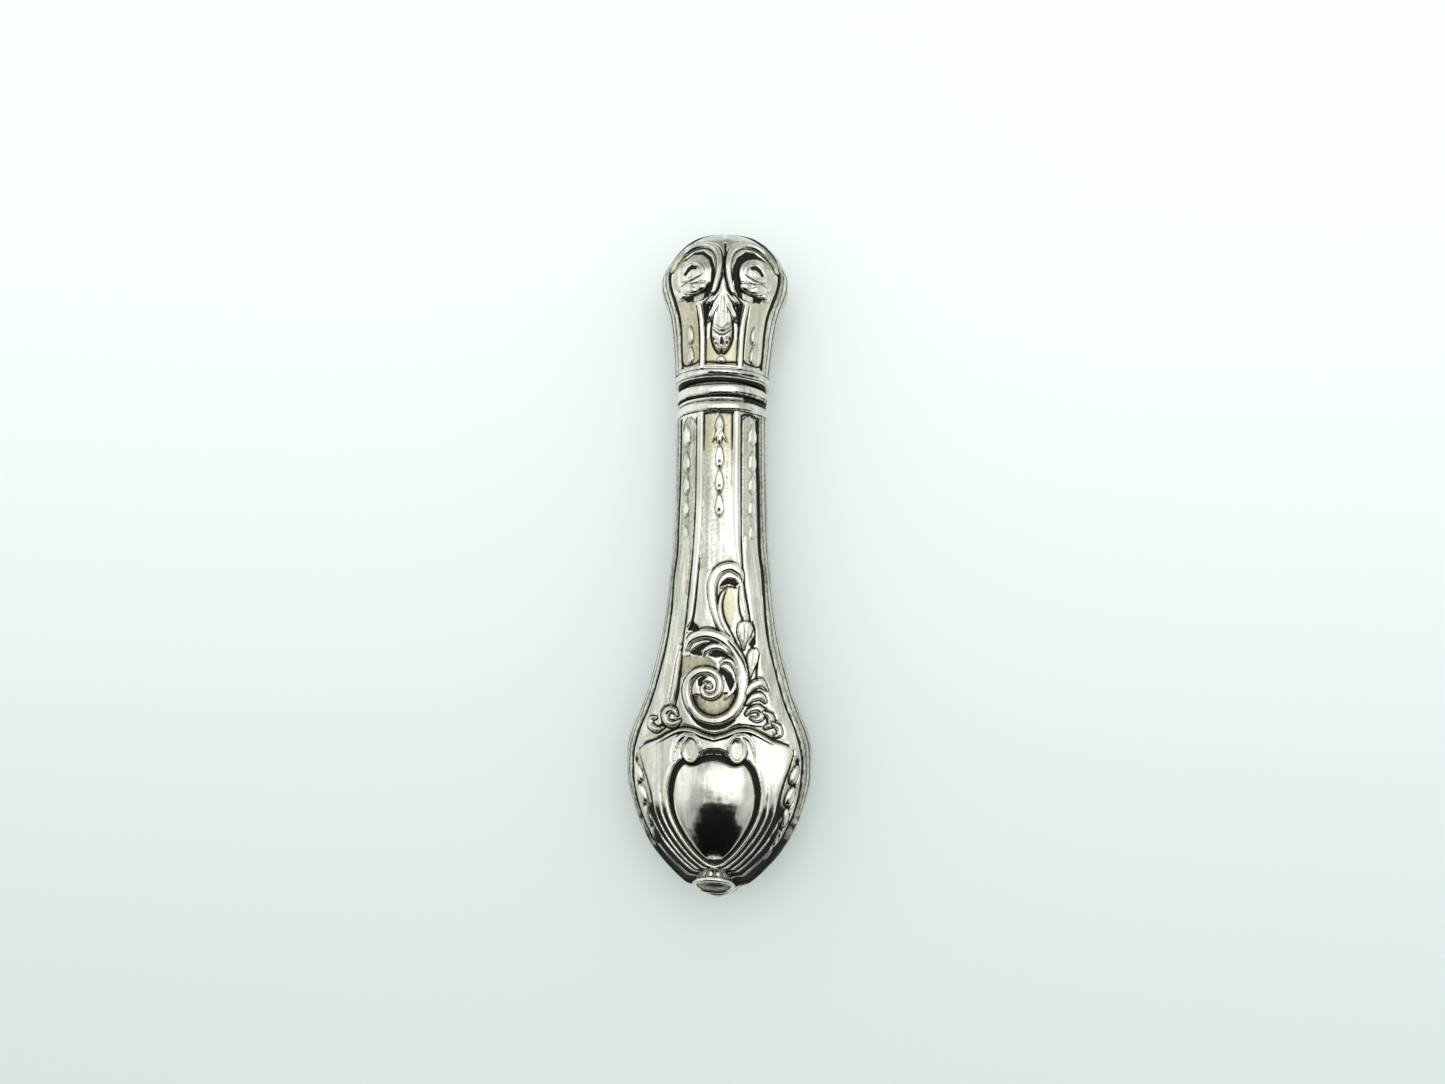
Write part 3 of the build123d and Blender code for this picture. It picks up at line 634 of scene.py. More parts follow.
def work_cartouche(relief):
    """Plate of the cartouche, its rim and the drops beside it."""
    for _ in relief.sides():
        relief.groove(CARTOUCHE[:8], [0.4, 0.42, 0.3, 0.25, 0.35, 0.4, 0.3], 0.24, 0.9)
    picked, within = relief.inside(closed_loop(CARTOUCHE))
    share = smoothstep(within, -0.12, 0.3)
    relief.height[picked] += 0.34 * share
    relief.rub(share, picked)
    for side in relief.sides():
        edge = [
            (10.05, -26.2), (9.45, -28.3), (8.75, -30.3), (8.25, -32.2), (7.7, -34.3), (6.7, -36.4),
            (5.2, -38.6), (3.4, -40.4),
        ]
        strength = 0.95 if side > 0 else 0.5
        relief.groove(edge, [0.26, 0.26, 0.26, 0.34, 0.4, 0.4, 0.4, 0.3], 0.22 * strength, strength)
        crest = [
            (0, -24.55), (1.5, -24.1), (2.9, -23.55), (4.4, -23.5), (5.7, -24.05), (7.2, -24.9), (8.8, -25.6),
        ]
        relief.ridge(crest, [0.6, 0.7, 0.7, 0.65, 0.6, 0.5, 0.2], 0.5)
        strip = [
            (9.95, -26.6), (10.7, -26.6), (10.8, -28.6), (10.4, -31), (9.8, -33.2), (9.0, -35.2),
            (7.7, -37.4), (6.9, -36.9), (7.7, -34.9), (8.4, -32.6), (9.1, -30), (9.6, -28),
        ]
        relief.plate(strip, -0.08, 0.15, tarnish=0.6)
        for x, y in ((10.55, -27.3), (10.1, -30.3), (9.4, -33.0), (8.4, -35.7)):
            spot = shifted([(-0.3, 0), (0, 0.5), (0.3, 0.1), (0.1, -0.55)], x, y)
            relief.pit(spot, 0.12, soft=0.14, oxide=strength)
        for x, y, size in ((10.15, -28.9, 1.15), (9.6, -31.6, 1.2), (8.85, -34.3, 1.15), (7.6, -37.0, 0.95)):
            relief.drop(x, y, 0.4 * size, 1.05 * size, 0.26 * size, turn=-0.32, edge=0.14 + 0.06 * side)
    # Sunk tip, blackened partly as oxide and partly as a painted dark reflection
    tip = closed_loop([(0, -40.9), (1.9, -41.2), (3.2, -42.2), (3.0, -43.6), (1.2, -44.6), (0, -44.8)])
    relief.plate(tip, -0.9, 1.8, oxide=0.9, soft=1.0)


def work_dome(relief):
    """Dark channel, the bright lines that run round it to the tip, and the dome that stands in it."""
    picked, within = relief.inside(closed_loop(DOME_EDGE), reach=5.6)
    here = relief.y[picked]
    width = np.interp(here, [-40, -36, -32, -28, -26], [0.2, 0.32, 0.5, 0.66, 0.5])
    band = smoothstep(within, -width - 0.12, -width + 0.1) * (1 - smoothstep(within, -0.02, 0.18))
    relief.height[picked] -= 0.42 * band
    relief.blacken(band, picked)
    away = -within - width
    # The ground towards the tip is blackened, partly as oxide and partly as a painted dark reflection
    ground = smoothstep(-here, 31.0, 34.5) * smoothstep(away, 0.1, 0.6)
    streak = np.sin(3.4 * away + 1.4 * np.sin(0.9 * here)) * np.sin(1.1 * here + 0.6 * relief.x[picked])
    beyond = smoothstep(away, 3.0, 3.6)
    ground *= 1 - beyond * (1 - smoothstep(-here + 0.8 * streak, 36.0, 39.5))
    relief.blacken(ground * (1.0 + (0.12 + 0.25 * beyond) * streak), picked)
    narrowing = np.interp(here, [-41, -34], [0.72, 1.0])
    for offset, thickness, height, start in DOME_LINES:
        apart = away - offset * narrowing
        line, shown = line_at(apart, 0, thickness), smoothstep(-here, start, start + 2.5)
        shade = line_at(apart, -0.33 * narrowing, 0.15) * smoothstep(-here, start + 1, start + 5)
        relief.height[picked] += (height * line - 0.1 * shade) * shown
        if offset > 0.5:
            relief.blacken(0.8 * shade, picked)
        relief.oxide[picked] *= 1 - line * shown

    half_width = eased(*zip(*DOME_WIDTH), 0.35)(relief.y)
    rise = eased(*zip(*DOME_RISE), 0.5)(relief.y)
    bulge = rise * np.clip(1 - (relief.x / half_width) ** 2, 0, 1) ** 0.62
    lid = np.zeros(relief.x.shape)
    lid[picked] = smoothstep(within, -0.05, 0.28)
    relief.height = relief.height * (1 - lid) + (bulge + 0.06) * lid
    relief.rub(lid)
    # Painted dark reflection over the dome's lowest end
    relief.blacken(0.95 * lid * smoothstep(-relief.y, 39.2, 39.4))
    relief.warm(0.3 * lid * smoothstep(relief.y, -29.4, -27.6))


def work_ears(relief):
    """Ringed discs over the dome's shoulders, their horns and the hollow between them."""
    for side in relief.sides():
        up = relief.y + 25.75
        apart = np.hypot((relief.x - side * 2.95) / 1.2, up / 1.8)
        relief.height = np.where(apart < 1.0, np.maximum(relief.height, 0.42), relief.height)
        relief.height += 0.2 * line_at(apart, 0.86, 0.12) - 0.05 * smoothstep(-apart, -0.75, -0.6)
        halo = line_at(apart, 1.1, 0.09) * smoothstep(-relief.y, 25.0, 26.4)
        relief.height -= 0.12 * halo
        relief.blacken(halo * 0.9)
        relief.oxide *= 1 - smoothstep(-apart, -1.0, -0.9)
        # Painted shade inside each disc's ring, on its side towards the cap
        relief.blacken(0.55 * line_at(apart, 0.66, 0.08) * smoothstep(up, -1.2, 0.8))
        relief.warm(0.45 * smoothstep(-apart, -0.78, -0.6))
        horn = [(2.0, -25.0), (2.6, -24.3), (3.6, -24.05), (4.5, -24.6), (5.0, -25.8), (5.2, -27.2)]
        relief.ridge(horn, [0.2, 0.5, 0.55, 0.55, 0.5, 0.3], 0.5, edge=0.07)
    # Hollow between the discs; its black is a painted shadow
    relief.pit([
        (-1.5, -26.1), (-0.7, -25.75), (0.7, -25.75), (1.5, -26.1), (1.5, -26.75), (0.8, -26.35),
        (-0.8, -26.35), (-1.5, -26.75),
    ], 0.2, soft=0.14, oxide=0.85)
    relief.groove([(2.3, -25.05), (2.7, -24.6), (3.1, -24.9)], [0.2, 0.4, 0.2], 0.2)


def work_body(relief):
    """Flutes, scrolls and cartouche of a body half."""
    work_neck_panels(relief)
    work_flanks(relief)
    work_husks(relief)
    work_crook(relief)
    work_volute(relief)
    work_curls(relief)
    work_cartouche(relief)
    work_dome(relief)
    work_ears(relief)


# ---------------------------------------------------------------- ornament of the cap

CAP_BORDER = [
    (5.45, 24.6), (5.65, 27), (5.8, 29.5), (6.1, 31.8), (6.7, 33.8), (7.25, 35.4), (7.6, 36.9), (7.62, 38.2),
    (7.3, 39.6), (6.7, 41.0), (5.85, 42.1), (4.75, 42.95), (3.35, 43.65), (1.75, 44.05), (0.0, 44.2),
]


def work_cap_panels(relief):
    """Flutes, drops and borders of a cap half."""
    for side in relief.sides():
        panel = [
            (2.75, 24.5), (5.4, 24.5), (5.7, 28), (6.1, 32), (7.0, 35.2), (5.6, 34.4), (3.6, 33.6), (3.2, 31),
            (2.9, 28),
        ]
        # The right panel is kept lighter than the left, as a painted highlight
        relief.plate(panel, -0.07, 0.2, tarnish=0.75 if side < 0 else 0.45, oxide=0.32 if side < 0 else 0.0)
        relief.plate([
            (5.4, 34.5), (7.1, 35.8), (7.2, 37.2), (6.4, 38.4), (5.9, 37), (6.2, 35.6),
        ], -0.05, 0.2, tarnish=0.7)
        relief.groove([(2.95, 24.6), (3.0, 27), (3.2, 30), (3.6, 32.8)], [0.22, 0.24, 0.26, 0.15], 0.16)
        relief.groove([(2.1, 24.6), (2.15, 27.5), (2.3, 30.4), (2.6, 33.0)], [0.22, 0.22, 0.4, 0.5], 0.2)
        relief.groove([
            (2.95, 25.5), (3.4, 25.0), (4.4, 24.88), (5.1, 25.0), (5.45, 25.5),
        ], [0.24, 0.3, 0.3, 0.34, 0.3], 0.16)
        relief.ridge([
            (2.52, 24.1), (2.55, 27.5), (2.75, 30.5), (3.15, 33.4),
        ], [0.62, 0.62, 0.6, 0.35], 0.28, ends=0.2)
        relief.drop(4.3, 29.0, 0.36, 1.15, 0.22, turn=-0.06, edge=0.14)
        relief.drop(4.2, 26.2, 0.36, 1.1, 0.22, edge=0.14)
        relief.groove(CAP_BORDER, [0.3, 0.34, 0.44, 0.58, 0.6, 0.5, 0.42], 0.32)
    relief.round_border(CAP_BORDER[:8], 0.16)
    picked, within = relief.inside(closed_loop(CAP_BORDER[::-1]))
    crown = np.exp(-(((within + 0.22) / 0.15) ** 4)) * smoothstep(relief.y[picked], 39.0, 41.5)
    relief.blacken(0.95 * crown, picked)
    relief.plate([
        (-2.0, 24.5), (2.0, 24.5), (2.1, 28), (1.2, 29), (-1.2, 29), (-2.1, 28),
    ], -0.08, 0.2, tarnish=0.85)
    relief.groove([(-2.1, 24.98), (0, 24.84), (2.1, 24.98)], 0.3, 0.16)


def work_cap_scrolls(relief):
    """Paired scrolls: dark hollow, boss with its snail line and leaf lobes, and outer band."""
    for side in relief.sides():
        # Dark hollow that the boss lies in, narrower on the left
        rim = np.array([
            (6.45, 38.35), (5.55, 39.75), (4.2, 40.75), (2.85, 40.75), (1.8, 39.7), (1.25, 37.9),
            (1.24, 35.8), (1.72, 34.3), (2.7, 33.6), (4.2, 33.5),
        ])
        foot = np.array([
            (6.2, 38.5), (5.6, 38.9), (4.4, 39.85), (3.04, 39.3), (2.5, 38.6), (2.21, 37.7), (2.29, 36.1),
            (2.7, 35.3), (3.1, 34.7), (4.2, 34.2),
        ])
        if side < 0:
            foot[:7] = 0.6 * rim[:7] + 0.4 * foot[:7]
        relief.pit(np.vstack([rim, foot[::-1]]), 0.42, soft=0.16)
        # Boss with its snail line and the lobes of its leaf
        apart = np.hypot((relief.x - side * 4.5) / 2.5, (relief.y - 37.2) / 2.4)
        lift = np.sqrt(np.clip(1 - apart**2, 0, 1))
        relief.height = np.where(apart < 1, np.maximum(relief.height, 0.5 * lift - 0.05), relief.height)
        relief.oxide *= 1 - smoothstep(lift, 0.15, 0.5)
        relief.groove([
            (2.5, 37.3), (2.75, 38.3), (3.5, 39.1), (4.6, 39.2), (5.6, 38.6), (6.2, 37.5),
        ], [0.06, 0.16, 0.18, 0.16, 0.12, 0.06], 0.14, 0.7)
        relief.groove([
            (3.1, 36.9), (3.2, 37.8), (3.8, 38.5), (4.7, 38.6), (5.4, 38.0),
        ], [0.06, 0.14, 0.14, 0.14, 0.06], 0.12, 0.6)
        relief.groove([
            (5.9, 36.5), (5.1, 36.15), (4.1, 36.25), (3.2, 36.7), (2.6, 37.3),
        ], [0.06, 0.16, 0.2, 0.18, 0.06], 0.14, 0.7)
        relief.groove([(5.4, 36.9), (4.5, 36.6), (3.7, 36.9)], [0.06, 0.12, 0.06], 0.1, 0.5)
        relief.pit([
            (3.5, 38.15), (4.3, 38.4), (4.85, 37.95), (5.3, 37.2), (4.95, 36.95), (4.6, 37.45), (4.2, 37.75),
            (3.6, 37.7),
        ], 0.26, soft=0.12)
        relief.pit([
            (2.7, 34.6), (3.8, 34.5), (5.4, 34.2), (5.0, 33.6), (3.8, 33.6), (2.9, 33.9),
        ], 0.3, soft=0.16)
        for x, y, half_width, half_length, height, turn, edge in (
            (3.05, 35.35, 0.8, 0.66, 0.5, -0.5, 0.05),
            (4.6, 35.15, 1.25, 0.66, 0.52, 0.2, 0.05),
            (5.75, 34.55, 0.6, 0.62, 0.4, -0.5, 0.07),
        ):
            relief.drop(x, y, half_width, half_length, height, turn, edge)
        relief.groove([
            (2.9, 36.0), (3.9, 35.75), (4.8, 35.95), (5.7, 35.6),
        ], [0.06, 0.16, 0.16, 0.06], 0.12, 0.6)
        # Outer band, from the crown down to the pendant
        outer_band = [
            (7.25, 38.31), (6.51, 39.9), (5.35, 41.04), (3.89, 41.73), (2.31, 41.67), (1.16, 40.81),
            (0.65, 39.33), (0.63, 37.62), (0.88, 36.03), (1.27, 34.7), (1.9, 33.6), (2.35, 32.7),
        ]
        widths = [0.3, 0.7, 0.95, 1.0, 1.0, 0.95, 0.85, 0.8, 0.75, 0.6, 0.4, 0.2]
        relief.ridge(outer_band, widths, 0.52, crease=0.3, edge=0.14, ends=0.6)
        outer = smoothstep(side * relief.x, 4.4, 5.6) * smoothstep(relief.y, 37.5, 38.5)
        relief.warm(0.5 * outer)
        relief.blacken(0.4 * outer)
        relief.ridge([(1.41, 34), (2, 33.3), (2.3, 32.3)], [0.3, 0.45, 0.2], 0.3, edge=0.12)
    relief.groove([(0.05, 41.84), (0.11, 40.24), (0.05, 38.42), (0.05, 36.82)], [0.5, 0.3, 0.16, 0.12], 0.22)


def work_cap_pendant(relief):
    """Leaf pendant with its notched tip and bead."""
    body = [
        (0, 37.0), (0.35, 36.0), (0.6, 34.9), (1.0, 34.3), (1.6, 33.8), (2.2, 33.0), (1.7, 32.9),
        (1.45, 32.5), (1.85, 31.6), (1.95, 30.5),
    ]
    body += [
        (1.55, 30.9), (1.35, 30.2), (1.4, 29.2), (1.35, 28.2), (1.1, 27.3), (0.75, 26.6), (0.3, 26.15),
        (0, 26.5),
    ]
    picked, within = relief.inside(closed_loop(body))
    halo = line_at(within, -0.12, 0.14)
    relief.height[picked] -= 0.14 * halo
    relief.blacken(0.85 * halo * smoothstep(36.4 - relief.y[picked], 0, 1.5), picked)
    puff = np.sqrt(np.clip(1 - (1 - np.clip(within / 1.1, 0, 1)) ** 2, 0, 1))
    cover = smoothstep(within, 0.0, 0.2)
    relief.height[picked] = relief.height[picked] * (1 - cover) + (0.1 + 0.42 * puff) * cover
    relief.rub(cover, picked, 0.8)
    for side in relief.sides():
        relief.groove([(0.5, 34.7), (1.1, 34.0), (1.9, 33.3)], [0.06, 0.16, 0.1], 0.12, 0.5)
        relief.groove([(0.45, 34.3), (0.95, 33.4), (1.5, 32.6)], [0.06, 0.22, 0.3], 0.18, 0.9)
        relief.groove([
            (0.35, 33.6), (0.9, 32.5), (1.4, 31.6), (1.75, 30.9),
        ], [0.06, 0.16, 0.18, 0.1], 0.12, 0.5)
        relief.groove([
            (0.55, 32.4), (1.0, 31.6), (1.2, 30.8), (1.35, 30.2),
        ], [0.06, 0.2, 0.24, 0.26], 0.18, 0.9)
        relief.pit([
            (1.75, 32.75), (2.3, 32.9), (2.45, 31.6), (2.35, 30.3), (2.1, 29.9), (2.05, 31.3),
        ], 0.16, soft=0.14)
        relief.groove([
            (1.5, 29.9), (1.52, 29.0), (1.45, 28.2),
        ], [0.1, 0.3 if side < 0 else 0.16, 0.1], 0.14, 0.9)
        relief.groove([(0.14, 34.4), (0.24, 33.2), (0.22, 32.1)], [0.05, 0.16, 0.12], 0.1, 0.6)
        relief.groove([(0.4, 33.0), (0.62, 32.2), (0.7, 31.4)], [0.05, 0.16, 0.14], 0.12, 0.7)
        relief.groove([
            (1.35, 29.5), (0.85, 29.0), (0.3, 28.55), (0, 28.5),
        ], [0.06, 0.2, 0.22, 0.14], 0.16, 0.85)
        relief.pit([(0.95, 28.3), (1.2, 28.2), (1.1, 27.6), (0.85, 27.6)], 0.14, soft=0.1, oxide=0.85)
        relief.groove([(0.42, 28.1), (0.5, 27.4), (0.42, 26.9)], [0.05, 0.12, 0.08], 0.08, 0.5)
    bell = closed_loop([(0, 31.8), (0.5, 31.5), (0.85, 30.8), (0.8, 30.1), (0.4, 29.75), (0, 29.7)])
    relief.plate(bell, -0.1, 0.3, tarnish=0.5, oxide=0.3)
    relief.ridge([(0, 34.8), (0, 33.2), (0, 32.0)], [0.15, 0.34, 0.1], 0.64)
    relief.ridge([
        (-1.1, 30.5), (-0.75, 29.7), (0, 29.2), (0.65, 29.6), (1.15, 30.3),
    ], [0.12, 0.3, 0.42, 0.5, 0.14], 0.66, edge=0.12)
    for x, row, size in ((-0.75, 27.6, 0.32), (0.72, 27.75, 0.34), (-0.32, 26.75, 0.3), (0.34, 26.75, 0.3)):
        relief.drop(x, row, size, 1.3 * size, 0.62, edge=0.13)
    relief.pit([(-0.1, 28.1), (0.12, 28.1), (0.3, 27.4), (0.1, 27.1), (-0.24, 27.3)], 0.2, soft=0.1)
    relief.drop(0, 25.25, 0.55, 0.5, 0.3, edge=0.12)


def work_cap(relief):
    """Flutes, paired scrolls and leaf pendant of a cap half."""
    work_cap_panels(relief)
    work_cap_scrolls(relief)
    work_cap_pendant(relief)


# ---------------------------------------------------------------- meshes


def section_points(half_width, half_depth, fullness, count):
    """Half-oval section from the left seam over the crest to the right, evenly spaced as seen from above."""
    t = np.linspace(0, 1, 90)
    near, far = 3 * (1 - t) ** 2 * t, 3 * (1 - t) * t * t
    x = half_width * ((1 - t) ** 3 + near + far * fullness)
    z = half_depth * (near * fullness + far + t**3)
    x, z = np.concatenate([-x, x[-2::-1]]), np.concatenate([z, z[-2::-1]])
    run = np.concatenate([[0], np.cumsum(np.hypot(np.diff(x), 0.6 * np.diff(z)))])
    even = np.linspace(0, run[-1], count)
    return np.interp(even, run, x), np.interp(even, run, z)


def half_surfaces(stations, crown, rows, columns, inner_columns, sheet):
    """Smooth outside and inside of a half, as rows of points from the stations' first place to the last."""
    places, widths, depths, fulls = (np.array(column) for column in zip(*stations))
    width_at, depth_at = eased(places, widths, 0.45), eased(places, depths, 0.45)
    full_at = eased(places, fulls, 0.6)
    fine = np.linspace(places[0], places[-1], 4000)
    pace = 1 - 0.45 * smoothstep(fine[1:], 0.0, 4.0) * (1 - smoothstep(fine[1:], 20.0, 24.0))
    run = np.concatenate([[0], np.cumsum(pace * np.hypot(np.diff(fine), 0.8 * np.diff(width_at(fine))))])
    y_rows = np.interp(np.linspace(0, run[-1], rows), run, fine)
    half_widths, half_depths, walls = width_at(y_rows), depth_at(y_rows), np.full(rows, sheet)
    if crown:
        half_widths[-1] = half_depths[-1] = 0.0
    else:
        closing = np.sqrt(np.clip(1 - (1 - np.clip((y_rows - TIP_Y) / TIP_RADIUS, 0, 1)) ** 2, 0, 1))
        half_widths, half_depths = half_widths * closing, half_depths * closing
        walls += TIP_SOLDER * smoothstep(-y_rows, 38.5, 40.5)

    outer, inner = np.zeros((rows, columns, 3)), np.zeros((rows, inner_columns, 3))
    for i, (y, half_width, half_depth, wall) in enumerate(zip(y_rows, half_widths, half_depths, walls)):
        outer[i, :, 0], outer[i, :, 2] = section_points(half_width, half_depth, full_at(y), columns)
        x, z = section_points(1.0, 1.0, full_at(y), inner_columns)
        inner[i, :, 0] = x[::-1] * max(half_width - wall, 0.45 * half_width)
        inner[i, :, 2] = z[::-1] * max(half_depth - wall, 0.45 * half_depth)
        outer[i, :, 1] = inner[i, :, 1] = y
    return outer, inner


def worked(outer, crown, work, seed):
    """Height, oxide with painted shade, and tarnish over a half: its ornament, the seam and the grime of the
    hollows.
    """
    relief = Relief(outer[:, :, 0], outer[:, :, 1])
    work(relief)
    for step, (size, depth) in enumerate(((9.0, 0.012), (2.6, 0.008), (1.1, 0.004))):
        relief.ruffle(seed + step, size, depth)
    height, oxide, tarnish = (
        layer.reshape(outer.shape[:2]) for layer in (relief.height, relief.oxide, relief.tarnish)
    )

    # Seam: a dark groove where the two halves are joined, wider where more solder was filed away; the broader
    # shade beside it is painted shade along the low sides
    y, rise = outer[:, :, 1], outer[:, :, 2]
    wide = 0.5 + 0.08 * np.sin(y * 0.7) + 0.04 * np.sin(y * 1.9 + 1)
    height = height - 0.12 * line_at(rise, 0, 0.6 * wide)
    shade = 0.38 * np.exp(-((rise / (1.9 * wide)) ** 4)) * (1 - 0.9 * smoothstep(-y, 28.0, 34.0))
    oxide = np.maximum(np.maximum(oxide, shade), line_at(rise, 0, 0.4 * wide))
    if crown:
        height *= smoothstep(-y, 0.02 - y[-1, 0], 0.6 - y[-1, 0])
    else:
        oxide *= 1 - 0.95 * line_at(rise, 0.75, 0.45) * smoothstep(-y, 31.0, 35.0)
        height *= smoothstep(y, y[0, 0] + 0.2, y[0, 0] + 1.4)
    hollow = blurred(height, 9) - height
    oxide = np.clip(oxide + smoothstep(hollow, 0.1, 0.36) * 0.6, 0, 1)
    tarnish = np.clip(tarnish + smoothstep(hollow, 0.0, 0.16) * 0.35, 0, 1)
    return height, oxide, tarnish


def stamped_half(name, stations, crown, rows, columns, inner_columns, sheet, work, seed):
    """Closed mesh of one stamped half: worked outside, seam rim and plain inside, in metres.

    A half closes in a crown at its last station, or else in a tip at its first.
    """
    outer, inner = half_surfaces(stations, crown, rows, columns, inner_columns, sheet)
    along, across = np.gradient(outer, axis=0), np.gradient(outer, axis=1)
    normal = np.cross(across, along)
    normal /= np.maximum(np.linalg.norm(normal, axis=2, keepdims=True), 1e-9)
    normal *= np.where(normal[:, columns // 2, 2].mean() < 0, -1, 1)
    height, oxide, tarnish = worked(outer, crown, work, seed)
    outer += normal * height[:, :, None]
    outer[:, :, 2] = np.maximum(outer[:, :, 2], 0)
    for surface in (outer, inner):
        surface[:, 0, 2] = surface[:, -1, 2] = 0
    ring = np.concatenate([outer, inner, outer[:, :1]], axis=1)
    closed_row = rows - 1 if crown else 0
    ring[closed_row] = (0, stations[-1 if crown else 0][0], 0)
    plain = np.full((rows, inner_columns), 0.35)
    dark, warm = (np.concatenate([layer, plain, layer[:, :1]], axis=1) for layer in (oxide, tarnish))

    bm = bmesh.new()
    last_column, last_row = ring.shape[1] - 1, rows - 1
    bmesh.ops.create_grid(bm, x_segments=last_column, y_segments=last_row, size=1)
    oxide_and_shade_layer, tarnish_layer = (bm.verts.layers.float.new(layer) for layer in ("oxide", "tarnish"))
    ends = []
    for vertex in bm.verts:
        j = round((vertex.co.x + 1) / 2 * last_column)
        i = round((vertex.co.y + 1) / 2 * last_row)
        x, y, z = ring[i, j]
        vertex.co = (x * MILLIMETRE, y * MILLIMETRE, (z + AXIS_HEIGHT) * MILLIMETRE)
        vertex[oxide_and_shade_layer], vertex[tarnish_layer] = dark[i, j], warm[i, j]
        if j in (0, last_column) or i == closed_row:
            ends.append(vertex)
    bmesh.ops.remove_doubles(bm, verts=ends, dist=MERGE_METRES)
    fill_open_edges(bm)
    bmesh.ops.recalc_face_normals(bm, faces=bm.faces)
    return finished(bm, name)


def blurred(field, reach):
    """Field averaged over a square, twice."""
    window = 2 * reach + 1
    for _ in range(2):
        for axis in (0, 1):
            size = field.shape[axis]
            low, high = (np.repeat(field.take([end], axis), reach, axis) for end in (0, -1))
            total = np.cumsum(np.concatenate([low, field, high], axis), axis)
            total = np.concatenate([np.zeros_like(total.take([0], axis)), total], axis)
            field = (total.take(range(window, window + size), axis) - total.take(range(size), axis)) / window
    return field


def fill_open_edges(bm):
    open_edges = [edge for edge in bm.edges if edge.is_boundary]
    if open_edges:
        bmesh.ops.holes_fill(bm, edges=open_edges, sides=0)


def finished(bm, name):
    """Object from a bmesh, smooth except at its sharp edges."""
    mesh = bpy.data.meshes.new(name)
    bm.to_mesh(mesh)
    bm.free()
    mesh.polygons.foreach_set("use_smooth", [True] * len(mesh.polygons))
    mesh.set_sharp_from_angle(angle=SHARP_ANGLE)
    return placed(name, mesh)


def placed(name, data):
    """Object in the scene for a mesh, lamp or camera."""
    item = bpy.data.objects.new(name, data)
    bpy.context.scene.collection.objects.link(item)
    return item


def turned_about(y, angle, axis):
    """Rotation in metres round a line through the case's axis at a height y."""
    middle = Matrix.Translation((0, y * MILLIMETRE, AXIS_HEIGHT * MILLIMETRE))
    return middle @ Matrix.Rotation(angle, 4, axis) @ middle.inverted()


def turned_copy(piece, name, angle):
    """Copy of a piece turned round the case's axis."""
    mesh = piece.data.copy()
    mesh.name = name
    mesh.transform(turned_about(0, angle, "Y"))
    return placed(name, mesh)


def leant(piece):
    """Leans a piece of the cap by the play it has on its tube."""
    piece.data.transform(turned_about(LEAN_PIVOT_Y, CAP_LEAN, "Z"))
    return piece


def lathed(points, centre, steps, merge, closed=True):
    """Bmesh of a row of points spun round a line along y."""
    bm = bmesh.new()
    corners = [bm.verts.new(point) for point in points]
    following = corners[1:] + corners[:1] if closed else corners[1:]
    geometry = corners + [bm.edges.new(pair) for pair in zip(corners, following)]
    bmesh.ops.spin(
        bm, geom=geometry, cent=centre, axis=(0, 1, 0), angle=2 * math.pi, steps=steps, use_merge=True
    )
    bmesh.ops.remove_doubles(bm, verts=bm.verts, dist=merge)
    return bm


def spun(name, profile, steps=160, wobble=0.0, seed=1, oxide=()):
    """Ring or tube from a closed profile of (radius, y), in millimetres, spun round the case's axis.

    Each dark line is (y, width), with the angle it gathers at where it comes and goes.
    """
    axis = AXIS_HEIGHT * MILLIMETRE
    points = [(r * MILLIMETRE, y * MILLIMETRE, axis) for r, y in profile]
    bm = lathed(points, (0, 0, axis), steps, MERGE_METRES)
    bmesh.ops.recalc_face_normals(bm, faces=bm.faces)
    phases = np.random.default_rng(seed).uniform(0, 2 * math.pi, 6)
    oxide_and_shade_layer, tarnish_layer = (bm.verts.layers.float.new(layer) for layer in ("oxide", "tarnish"))
    for vertex in bm.verts:
        x, z = vertex.co.x, vertex.co.z - axis
        radius, turn = math.hypot(x, z), math.atan2(z, x)
        y = vertex.co.y / MILLIMETRE
        ragged = 1 + 0.3 * math.sin(11 * turn + phases[0]) * math.sin(5 * turn + phases[1])
        ragged += 0.2 * math.sin(37 * turn + phases[2])
        dark = 0.0
        for place, reach, *gathering in oxide:
            line = math.exp(-(((y - place) / (reach * ragged)) ** 2))
            for angle in gathering:
                around = math.cos(2 * (turn - math.radians(angle)))
                around += 0.25 * math.sin(9 * turn) + 0.2 * math.sin(23 * turn)
                line *= min(max((around - 0.2) / 0.5, 0.0), 1.0)
            dark = max(dark, line)
        vertex[oxide_and_shade_layer], vertex[tarnish_layer] = dark, 0.15 + 0.25 * dark
        if wobble:
            waves = sum(math.sin((k + 2) * turn + phases[k]) for k in range(5)) / 5
            vertex.co.y += wobble * MILLIMETRE * waves
            scale = 1 + wobble * 0.12 * waves / max(radius / MILLIMETRE, 1)
            vertex.co.x, vertex.co.z = x * scale, z * scale + axis
    return finished(bm, name)


def arc(centre_r, centre_y, radius_r, radius_y, start, end, steps):
    """Points of an elliptical arc in a turned profile, in degrees from outwards."""
    return [
        (centre_r + radius_r * math.cos(a), centre_y + radius_y * math.sin(a))
        for a in np.radians(np.linspace(start, end, steps))
    ]


def reach_of(node):
    """Lowest and highest y and the outer radius of a ring node, in millimetres."""
    low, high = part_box(node)
    return low.y / MILLIMETRE, high.y / MILLIMETRE, (high.x - low.x) / 2 / MILLIMETRE


# ---------------------------------------------------------------- materials


